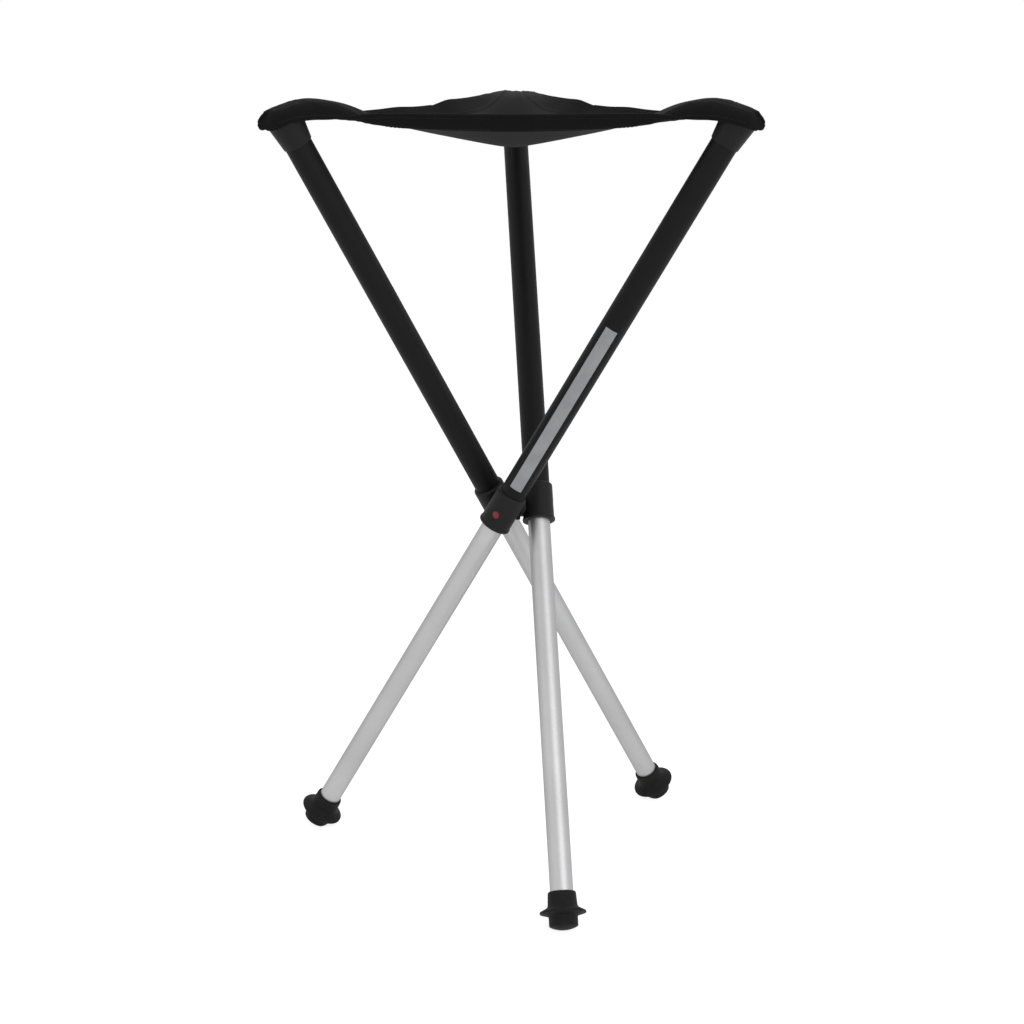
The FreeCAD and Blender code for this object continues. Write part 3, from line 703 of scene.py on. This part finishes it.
def slope_to_edge(low):
    """The slope that brings the hanging middle to the fold's height at the middle of an edge."""
    run = math.sqrt(FOLD_DISTANCE ** 2 + CENTRE_FLAT ** 2) - CENTRE_FLAT
    return (low - CENTRE_HEIGHT) / run


# %% Seat curves
# Corner line, by distance from the hub's axis. The two front corners are alike.
NOSE = ((226, 681.4), (231, 679.3), (235, 676.4), (237.6, 672.6))
CREST_FRONT = curve(
    (0, 647), (20, 649.3), (40, 652.9), (60, 656.7), (80, 660.5), (100, 664.6), (115, 668),
    (128, 672.2), (138, 677), (148, 681), (160, 684.9), (175, 688), (188, 689.7), (198, 689.7),
    (205, 688.4), (212, 686), (219, 683.6), *NOSE)
CREST_REAR = curve(
    (0, 647), (20, 649.3), (40, 652.9), (60, 657), (80, 662), (100, 668.6), (115, 675.2),
    (130, 681.2), (145, 686), (160, 688.8), (175, 690.4), (188, 691), (198, 690.6),
    (205, 689), (212, 686.4), (219, 683.8), *NOSE)

# The hem's edge, by `p` of the edge: it stands up in the middle and is the hood's rim at the end.
RIM_END = ((222, 670.2), (230, 667.4), (234.2, 665.9))
RIM_FRONT = ((170, 675), (184, 674.2), (198, 674.1), (211, 672.7), *RIM_END)
EDGE_FRONT = curve((42, 676), (64, 676.1), (87, 676.3), (110, 676.6), (130, 677), (146, 677),
                   (158, 676.4), *RIM_FRONT)
EDGE_SIDE = curve((42, 680.7), (64, 679.8), (87, 679.9), (110, 678.3), (134, 677.2), (158, 676),
                  *RIM_FRONT)
EDGE_REAR = curve((42, 680), (53, 682.2), (64, 684.4), (87, 685.4), (110, 686.3), (134, 687.4),
                  (158, 688.6), (173, 689), (184, 688.8), (194, 686), (203, 679.6),
                  (211, 674), *RIM_END)

# The fold where the panel meets the standing hem, by `p` of the fold.
LOW_END = ((173, 673.2), (185, 673.3))
LOW_FRONT = curve((37.5, 663), (85, 664.4), (110, 666), (132, 667.4), (147, 669), (160, 671.4),
                  *LOW_END)
LOW_SIDE = curve((37.5, 668.5), (85, 668.6), (132, 669.8), (160, 672), *LOW_END)
LOW_REAR = curve((37.5, 668.5), (50, 669.6), (64, 671), (96, 674), (120, 678), (140, 683),
                 (158, 687.4), (173, 688.9), (185, 689))
# The standing lip's width in plan, which runs out before the hood.
lip_width = curve((37, 9), (105, 9), (125, 8.2), (145, 6), (160, 3.4), (172, 1.1), (182, 0),
                  (240, 0))

FRONT = (CREST_FRONT, EDGE_FRONT, LOW_FRONT)
SIDE = (CREST_FRONT, EDGE_SIDE, LOW_SIDE)
REAR = (CREST_REAR, EDGE_REAR, LOW_REAR)
SIXTHS = {("right", -1): FRONT, ("right", 1): SIDE, ("rear", -1): REAR, ("rear", 1): REAR,
          ("left", -1): SIDE, ("left", 1): FRONT}
print("seat's middle", CENTRE_HEIGHT, "mm, highest crest", float(CREST_REAR(188)), "mm")

# %% [markdown]
# ### The hem's line, and the rows that end on it
# Seen from above, each edge is a shallow concave arc that runs into a ring round the cap. Places
# on the corner line are paired with places on that line, so that rows fan out evenly. Along each
# row the cloth changes form: a hanging trough near the middle, an arched tent toward the corner
# and a ball-like nose over the cap.

# %% Hem line in plan
EDGE_MIDDLE, EDGE_RADIUS = 84.0, 450.0
RING_CENTRE, RING_LONG, RING_SIDE = 212.6, 21.6, 18.9
EDGE_TURN = math.radians(60)


def edge_place(along):
    """Plan place of the concave edge at a distance from its middle, in the sector's axes."""
    inward = EDGE_MIDDLE + EDGE_RADIUS - math.sqrt(EDGE_RADIUS ** 2 - along ** 2)
    return (inward * math.cos(EDGE_TURN) + along * math.sin(EDGE_TURN),
            inward * math.sin(EDGE_TURN) - along * math.cos(EDGE_TURN))


def ring_place(turn):
    """Plan place on the hood's ring round the cap; 90 degrees is its side and 0 its nose."""
    turn = math.radians(turn)
    return RING_CENTRE + RING_LONG * math.cos(turn), RING_SIDE * math.sin(turn)


# Each knot pairs a place on the corner line with a place on the hem.
PAIRS = [(0, edge_place(0)), (42, edge_place(25)), (78, edge_place(50)), (106, edge_place(75)),
         (132, edge_place(100)), (157, edge_place(124)), (173, edge_place(139)),
         (186, edge_place(151)), (199, (198.5, 19.2)), (211, ring_place(90)),
         (220, ring_place(63)), (227.5, ring_place(40)), (233, ring_place(22)),
         (236.4, ring_place(9)), (237.6, ring_place(0))]
steps = [0.0]
for (p1, e1), (p2, e2) in zip(PAIRS, PAIRS[1:]):
    steps.append(steps[-1] + 0.5 * (p2 - p1) + 0.5 * math.dist(e1, e2))
corner_place = curve(*[(u, p) for u, (p, _) in zip(steps, PAIRS)])
hem_x = curve(*[(u, e[0]) for u, (_, e) in zip(steps, PAIRS)])
hem_y = curve(*[(u, e[1]) for u, (_, e) in zip(steps, PAIRS)])
print("hem from its middle to the nose:", len(PAIRS), "knots")

# %% Rows of one sixth of the seat
ROWS, PANEL_COLUMNS = 92, 20
DENSE, LIP_DENSE = 160, 40
# Distances from the hem's edge at which every row has a point; 2.2 and 13.8 carry the stitches.
BAND = np.array([0, 0.8, 2.2, 4.2, 6.4, 8.6, 10.6, 12.3, 13.8, 15.2, 15.9, 16.5, 18.0])
BAND_SHARE = 0.72
HALF_PANEL, HALF_HEM = 0.45, 1.05
# Where each change of form starts and ends, in millimetres from the hub's axis.
HANGING_ENDS, TENT_STARTS, TENT_ROUNDS = (0, 80), (75, 135), (140, 180)
LIP_JOINS, NOSE_TUCKS = (166, 181), (226, 236.5)
TROUGH_WIDTH = 0.27
TENT_POWER, TENT_EXTRA_POWER = 1.25, 1.15
LIP_STRAIGHT = 0.75
LIP_LEAST = 0.05

row_at = np.linspace(0, steps[-1], ROWS + 1)


def row_shape(s, place):
    """How far down from corner line to fold the cloth has come, at each share `s` of a row."""
    widest = math.sqrt(1 + TROUGH_WIDTH ** 2) - TROUGH_WIDTH
    trough = (np.sqrt(s ** 2 + TROUGH_WIDTH ** 2) - TROUGH_WIDTH) / widest
    boxy = TENT_POWER + TENT_EXTRA_POWER * float(fade(place, *TENT_ROUNDS))
    tent = 1 - (1 - s ** boxy) ** (1 / boxy)
    arched = float(fade(place, *TENT_STARTS))
    shape = (1 - arched) * trough + arched * tent
    # Round the nose the cloth drops first and then tucks in under the cap, like a ball.
    tucked = float(fade(place, *NOSE_TUCKS))
    return (1 - tucked) * shape + tucked * np.sqrt(1 - (1 - s) ** 2)


def row_line(place, edge, crest, hem_low):
    """A dense line from the corner line down the panel and up the standing lip."""
    corner = np.array([place, 0.0, float(crest(place))])
    across = corner[:2] - edge[:2]
    lip = float(lip_width(edge[0]))
    low = edge.copy()
    if lip > 0:
        low[:2] += across / np.linalg.norm(across) * lip
        joined = float(fade(edge[0], *LIP_JOINS))
        low[2] = (1 - joined) * float(hem_low(low[0])) + joined * edge[2]
    s = np.sin(np.linspace(0, math.pi / 2, DENSE))
    panel = corner + s[:, None] * (low - corner)
    panel[:, 2] = corner[2] + (low[2] - corner[2]) * row_shape(s, place)
    # Near the hub the cloth hangs freely; an edge's middle is at a bearing of 60 degrees.
    distance = np.hypot(panel[:, 0], panel[:, 1])
    bearing = np.arctan2(panel[:, 1], panel[:, 0])
    toward_edge = np.sin(1.5 * bearing) ** 2
    to_edge = slope_to_edge(float(hem_low(FOLD_PLACE)))
    free = hang(distance, SLOPE_CORNER + (to_edge - SLOPE_CORNER) * toward_edge)
    own = float(fade(place, *HANGING_ENDS))
    panel[:, 2] = (1 - own) * free + own * panel[:, 2]
    if lip <= LIP_LEAST:
        return panel
    t = np.linspace(0, 1, LIP_DENSE)[1:]
    low[2] = panel[-1, 2]
    rise = low + t[:, None] * (edge - low)
    rise[:, 2] = low[2] + (edge[2] - low[2]) * (LIP_STRAIGHT * t + (1 - LIP_STRAIGHT) * t ** 2)
    return np.vstack([panel, rise])


def sixth_of_seat(crest, hem_edge, hem_low):
    """Points of one sixth in the sector's axes, row by row, and their distances along the row."""
    grid = np.zeros((ROWS + 1, PANEL_COLUMNS + len(BAND), 3))
    lengths = np.zeros(grid.shape[:2])
    for i, u in enumerate(row_at):
        edge = np.array([float(hem_x(u)), float(hem_y(u)), 0.0])
        edge[2] = hem_edge(edge[0])
        line = row_line(float(corner_place(u)), edge, crest, hem_low)
        gaps = np.linalg.norm(np.diff(line, axis=0), axis=1)
        run = np.concatenate([[0], np.cumsum(gaps)])
        total = run[-1]
        band = BAND * min(1.0, BAND_SHARE * total / BAND[-1])
        inner = np.linspace(0, total - band[-1], PANEL_COLUMNS + 1)[:-1]
        lengths[i] = np.concatenate([inner, total - band[::-1]])
        for axis in range(3):
            grid[i, :, axis] = np.interp(lengths[i], run, line[:, axis])
    # The cloth can't fold like paper: soften the rows a little where the lip meets the panel.
    for _ in range(2):
        grid[:, 1:-1] = 0.5 * grid[:, 1:-1] + 0.25 * (grid[:, :-2] + grid[:, 2:])
    return grid, lengths


sixths = {key: sixth_of_seat(*curves) for key, curves in SIXTHS.items()}
print("one sixth has", ROWS + 1, "rows of", PANEL_COLUMNS + len(BAND), "points")

# %% [markdown]
# ### The whole cloth
# The sixths are set round the hub, and only then creased, because a crease is pushed along the
# cloth's own normal and the normal has to agree where two sixths meet. The creases are soft noise
# drawn in rays out of each corner, where the pull on the real cloth comes from.

# %% Whole seat: normals, creases and weave coordinates
# Every sixth is set in the stool's millimetres, so that its normals can use its true neighbours
# across the corner line, the nose and the middle of the edge.
COLUMNS = PANEL_COLUMNS + len(BAND)
corner_angles = {}
for leg in LEGS:
    top = leg_frames[leg] @ Vector((0, 0, UPPER_TOP)) - hub
    corner_angles[leg] = math.atan2(top.y, top.x)
pivot_height = hub.z / MM
NEXT_LEG = {("right", 1): "rear", ("rear", 1): "left", ("left", 1): "right",
            ("right", -1): "left", ("left", -1): "rear", ("rear", -1): "right"}
# Creases and pleats, in millimetres: how high each stands, and how many per turn or how long.
CREASE_HIGH, CREASE_RAYS, CREASE_LONG = 0.9, 5.5, 75
FINE_HIGH, FINE_RAYS, FINE_LONG = 0.35, 15, 34
PLEAT_HIGH, PLEAT_TURN = 0.3, 1.9
CREASES_START, CREASES_END, PLEATS_START = (55, 150), (222, 236), (212, 230)
RAY_LEAST = 4.0


def to_stool(points, leg):
    """Sector millimetres to the stool's millimetres."""
    c, s = math.cos(corner_angles[leg]), math.sin(corner_angles[leg])
    x = points[..., 0] * c - points[..., 1] * s + hub.x / MM
    y = points[..., 0] * s + points[..., 1] * c + hub.y / MM
    return np.stack([x, y, points[..., 2] - PIVOT_READ + pivot_height], axis=-1)


def normals_of(grids, key):
    """Upward unit normals of one sixth, using the sixths beside it."""
    leg, side = key
    grid, twin = grids[key], grids[leg, -side]
    beyond = grids[NEXT_LEG[key], -side]
    along = np.concatenate([beyond[1][None], grid, twin[-2][None]])
    along = along[2:] - along[:-2]
    across = np.concatenate([twin[:, 1][:, None], grid], axis=1)
    last = (grid[:, -1] - grid[:, -2])[:, None] * 2
    across = np.concatenate([across[:, 2:] - across[:, :-2], last], axis=1)
    normal = np.cross(along, across) * side
    normal[0, 0] = (0, 0, 1)
    return normal / np.maximum(np.linalg.norm(normal, axis=2, keepdims=True), 1e-9)


def creased(key, seed):
    """Pull creases that fan out of the corner, and pleats in the gathered nose."""
    grid = sixths[key][0]
    normal = normals_of(smooth_cloth, key)
    result = smooth_cloth[key].copy()
    for i in range(1, ROWS):
        for j in range(COLUMNS):
            p, y, _ = grid[i, j]
            # Measured round a point near the cap, creases become rays from the corner.
            bearing = math.atan2(y, max(RING_CENTRE - p, RAY_LEAST))
            from_corner = math.hypot(y, RING_CENTRE - p)
            free = (float(fade(p, *CREASES_START)) * float(fade(j, 0, 4))
                    * float(1 - fade(p, *CREASES_END)))
            pull = noise.noise(Vector((bearing * CREASE_RAYS, from_corner / CREASE_LONG, seed)))
            fine = noise.noise(Vector((bearing * FINE_RAYS, from_corner / FINE_LONG, seed + 9)))
            pleat = (math.sin(i * PLEAT_TURN) * float(fade(p, *PLEATS_START))
                     * float(fade(j, 0, COLUMNS * 0.6)))
            height = free * (CREASE_HIGH * pull + FINE_HIGH * fine) + PLEAT_HIGH * pleat
            result[i, j] += normal[i, j] * height
    return result


smooth_cloth = {key: to_stool(grid * (1, key[1], 1), key[0]) for key, (grid, _) in sixths.items()}
cloth = {key: creased(key, 3.0 + 7.0 * number) for number, key in enumerate(SIXTHS)}
cloth_normals = {key: normals_of(cloth, key) for key in cloth}
moved = max(float(np.abs(cloth[key] - smooth_cloth[key]).max()) for key in cloth)
print("creases move the cloth by up to", round(moved, 2), "mm")


def whole_sector(leg):
    """Centre surface, normals and weave coordinates of one sector, hem to hem."""
    joined = []
    for parts in (cloth, cloth_normals):
        joined.append(np.concatenate([parts[leg, -1][:, :0:-1], parts[leg, 1]], axis=1))
    run = np.concatenate([-sixths[leg, -1][1][:, :0:-1], sixths[leg, 1][1]], axis=1)
    lean = np.radians(90 - 30 * (1 - fade(row_at, 0, steps[9])))[:, None]
    place = np.array([float(corner_place(u)) for u in row_at])[:, None]
    weave = np.stack([place + np.abs(run) * np.cos(lean), run * np.sin(lean)], axis=2)
    return (*joined, weave)


# %% [markdown]
# ### From a surface to a cloth with thickness
# Each third of the seat becomes one closed mesh: an upper and an under face, over twice as thick
# in the hem where the cloth is doubled, and a round rim along the hem's edge. The thirds are
# separate meshes; their shading is made to agree where they meet, so that they read as one
# cloth while the stool is open.

# %% Points of a thick sheet
CREST = COLUMNS - 1
WIDTH = 2 * COLUMNS - 1
HEM_COLUMNS = 10
from_hem = np.abs(np.abs(np.arange(WIDTH) - CREST) - CREST)
half_thickness = np.where(from_hem <= HEM_COLUMNS, HALF_HEM, HALF_PANEL)
RIM_TURNS = [math.radians(a) for a in (30, 60, 90, 120, 150)]
RIM = len(RIM_TURNS)


def thick_loops(spots, ups, weave):
    """Points and weave coordinates of the sheet's skin, and one loop of points round each row."""
    points, coords, loops, lookup = [], [], [], {}

    def put(i, kind, column, number, place, uv):
        # The nose row folds on itself, so its two halves share their points.
        if i == ROWS:
            key = (kind, 0 if kind == "rim" else abs(column), number)
            if key in lookup:
                return lookup[key]
            lookup[key] = len(points)
        points.append(place)
        coords.append(uv)
        return len(points) - 1

    outward = {}
    for end, step in ((0, 1), (WIDTH - 1, -1)):
        away = spots[:, end] - spots[:, end + step]
        outward[end] = away / np.linalg.norm(away, axis=1, keepdims=True)

    def face_side(i, kind, columns, sign):
        return [put(i, kind, j - CREST, 0, spots[i, j] + sign * ups[i, j] * half_thickness[j],
                    weave[i, j]) for j in columns]

    def rim_side(i, end, turns):
        return [put(i, "rim", 1 if end else -1, k, spots[i, end] + HALF_HEM * (
            ups[i, end] * math.cos(turn) + outward[end][i] * math.sin(turn)),
            weave[i, end]) for k, turn in turns]

    turns = list(enumerate(RIM_TURNS))
    for i in range(ROWS + 1):
        loops.append(face_side(i, "top", range(WIDTH), 1) + rim_side(i, WIDTH - 1, turns)
                     + face_side(i, "under", reversed(range(WIDTH)), -1)
                     + rim_side(i, 0, reversed(turns)))
    return np.array(points) * MM, coords, loops


# %% Faces of a thick sheet
def skin(loops):
    """Faces between neighbouring loops; where points are shared a face shrinks or drops out."""
    faces = []
    count = len(loops[0])
    for low, high in zip(loops, loops[1:]):
        for k in range(count):
            after = (k + 1) % count
            face = [low[k], high[k], high[after], low[after]]
            faces.append([v for n, v in enumerate(face) if v != face[n - 1]])
    return [face for face in faces if len(set(face)) > 2]


def closing(first):
    """Faces that close the side where this third of the seat meets the next ones."""
    faces = [[first[j], first[j + 1], first[-2 - RIM - j], first[-1 - RIM - j]]
             for j in range(WIDTH - 1)]
    faces.append(first[WIDTH - 1:WIDTH + RIM + 1])
    faces.append([first[-1 - RIM]] + first[-RIM:] + [first[0]])
    return faces


def smooth_normals(leg, places, faces, first, ups):
    """A normal for each point from the faces round it; along the joins they suit both sides."""
    shade = np.zeros_like(places)
    for face in faces:
        a, b, c = places[face[0]], places[face[1]], places[face[2]]
        normal = np.cross(b - a, places[face[-1]] - a) + np.cross(c - b, a - b)
        for vertex in face:
            shade[vertex] += normal
    shade /= np.maximum(np.linalg.norm(shade, axis=1, keepdims=True), 1e-12)
    for sign, start, way in ((1, 0, 1), (-1, 2 * WIDTH + RIM - 1, -1)):
        for j in range(WIDTH):
            vertex = first[start + way * j]
            if j == CREST:
                shade[vertex] = (0, 0, sign)
                continue
            plane = corner_angles[leg] + (1 if j > CREST else -1) * math.radians(60)
            level = np.array([-math.sin(plane), math.cos(plane), 0])
            shade[vertex] += level * (sign * ups[0, j] @ level - shade[vertex] @ level)
            shade[vertex] /= np.linalg.norm(shade[vertex])
    return shade


# %% Sector meshes
def sector_mesh(leg, spots, ups, weave):
    """One third of the seat as a mesh, with its weave coordinates and its own shading."""
    places, coords, loops = thick_loops(spots, ups, weave)
    faces = skin(loops)
    smooth_count = len(faces)
    shade = smooth_normals(leg, places, faces, loops[0], ups)
    faces += closing(loops[0])
    mesh = bpy.data.meshes.new(f"seat_{leg}")
    mesh.from_pydata(places.tolist(), [], faces)
    layer = mesh.uv_layers.new(name="cloth")
    corner_uvs = np.array([coords[v] for face in faces for v in face]) * MM
    # Every third is turned to its place, so that one weave runs through the whole seat.
    c, s = math.cos(corner_angles[leg]), math.sin(corner_angles[leg])
    turned_uvs = np.stack([corner_uvs[:, 0] * c - corner_uvs[:, 1] * s,
                           corner_uvs[:, 0] * s + corner_uvs[:, 1] * c], axis=1)
    layer.data.foreach_set("uv", turned_uvs.astype(np.float32).ravel())
    mesh.shade_smooth()
    loop_normals = []
    for number, face in enumerate(faces):
        flat = mesh.polygons[number].normal if number >= smooth_count else None
        loop_normals += [tuple(flat) if flat else tuple(shade[v]) for v in face]
    mesh.normals_split_custom_set(loop_normals)
    mesh.materials.append(fabric)
    thing = bpy.data.objects.new(f"seat_{leg}", mesh)
    bpy.context.scene.collection.objects.link(thing)
    return thing


# %% [markdown]
# ### Stitches and pockets
# Two lines of stitching hold each hem. A stitch is a short length of thread that dives into the
# cloth at both ends, so each is modelled, a little thicker than real thread so that it shows. The
# pocket is the cup of the same cloth that hugs the cap inside each tent, and rides on the leg.

# %% Stitches
STITCH_PITCH, STITCH_LENGTH, THREAD_R = 3.4, 2.5, 0.24
STITCH_LINES = (2, 8)
NOSE_CLEAR = 16.0
THREAD_SIDES = 6
# Rings along a stitch, as shares of its length, and their lift as shares of the thread's radius.
STITCH_SHARES = ((-0.5, -0.55), (-0.36, 0.05), (0.0, 0.3), (0.36, 0.05), (0.5, -0.55))
LOOK_AHEAD = 0.5


def stitch_row(line, up, height, points, faces):
    """Lay short threads on a line of points, each one diving into the cloth at both ends."""
    gaps = np.linalg.norm(np.diff(line, axis=0), axis=1)
    run = np.concatenate([[0], np.cumsum(gaps)])

    def at_run(at, values):
        return np.array([np.interp(at, run, values[:, k]) for k in range(3)])

    count = int((run[-1] - NOSE_CLEAR * 2) / STITCH_PITCH)
    start = (run[-1] - count * STITCH_PITCH) / 2
    for number in range(count):
        base = len(points)
        for part, lift in STITCH_SHARES:
            at = start + (number + 0.5) * STITCH_PITCH + part * STITCH_LENGTH
            place, rise = at_run(at, line), at_run(at, up)
            ahead = at_run(at + LOOK_AHEAD, line) - place
            ahead /= np.linalg.norm(ahead)
            aside = np.cross(ahead, rise)
            place = place + rise * (height + lift * THREAD_R)
            for side in range(THREAD_SIDES):
                turn = math.tau * side / THREAD_SIDES
                points.append(place + THREAD_R * (rise * math.cos(turn) + aside * math.sin(turn)))
        last = base + (len(STITCH_SHARES) - 1) * THREAD_SIDES
        for low in range(base, last, THREAD_SIDES):
            for side in range(THREAD_SIDES):
                after, high = (side + 1) % THREAD_SIDES, low + THREAD_SIDES
                faces.append([low + side, low + after, high + after, high + side])
        faces.append([base + side for side in reversed(range(THREAD_SIDES))])
        faces.append([last + side for side in range(THREAD_SIDES)])


def stitches(leg, spots, ups):
    """Both stitch lines of both hems of one sector, on the upper and the under face."""
    points, faces = [], []
    for column in STITCH_LINES:
        for j in (column, WIDTH - 1 - column):
            for sign in (1, -1):
                stitch_row(spots[:, j], ups[:, j] * sign, HALF_HEM, points, faces)
    thing = add_mesh(f"seat_stitches_{leg}", (np.array(points) * MM).tolist(), faces)
    thing.data.materials.append(thread)
    return thing


# %% Corner pockets
POCKET_GAP, POCKET_CLOTH, POCKET_LOW = 0.4, 0.9, 408.0
# The pocket's own hem is a little thicker than its cloth over a short height.
POCKET_HEM_LOW, POCKET_HEM_HIGH, POCKET_HEM_HEIGHT = 0.5, 0.6, 2


def pocket(leg):
    """A cup of cloth over the end cap, an even gap away from it."""
    inner = SLEEVE_R + (CAP_R - SLEEVE_R) * (POCKET_LOW - SLEEVE_LOW) / (CAP_RIM - SLEEVE_LOW)
    inner += POCKET_GAP
    rim = CAP_R + POCKET_GAP
    top = CAP_TOP + POCKET_GAP
    cloth = POCKET_CLOTH
    return turned(f"seat_pocket_piece_{leg}", leg, [
        (CROWN_HOLE_R, top, 0), *arc((rim, CAP_RIM), (CROWN_HOLE_R, top), 14)[::-1],
        (rim, CAP_RIM, 1.2), (inner, POCKET_LOW, 0.2),
        (inner + cloth + POCKET_HEM_LOW, POCKET_LOW, 0.5),
        (inner + cloth + POCKET_HEM_HIGH, POCKET_LOW + POCKET_HEM_HEIGHT, 0.4),
        (rim + cloth, CAP_RIM, 1.4), *arc((rim + cloth, CAP_RIM), (CROWN_HOLE_R, top + cloth), 14),
        (CROWN_HOLE_R, top + cloth, 0)])


# %% [markdown]
# ### Assembling the seat
# Each third is made with its two lines of stitches, and each pocket rides on its leg.

# %% Assemble the seat
for leg in LEGS:
    spots, ups, weave = whole_sector(leg)
    seat = sector_mesh(leg, spots, ups, weave)
    a = spots[1:, 1:] - spots[:-1, :-1]
    b = spots[1:, :-1] - spots[:-1, 1:]
    seams = stitches(leg, spots, ups)
    for thing in (seat, seams):
        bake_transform(thing)
    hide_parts("seat_panel", "hem_front", "hem_right", "hem_left")
    cup = pocket(leg)
    finished(cup, fabric, "seat_fabric", f"leg_{leg}", f"seat_pocket_{leg}")
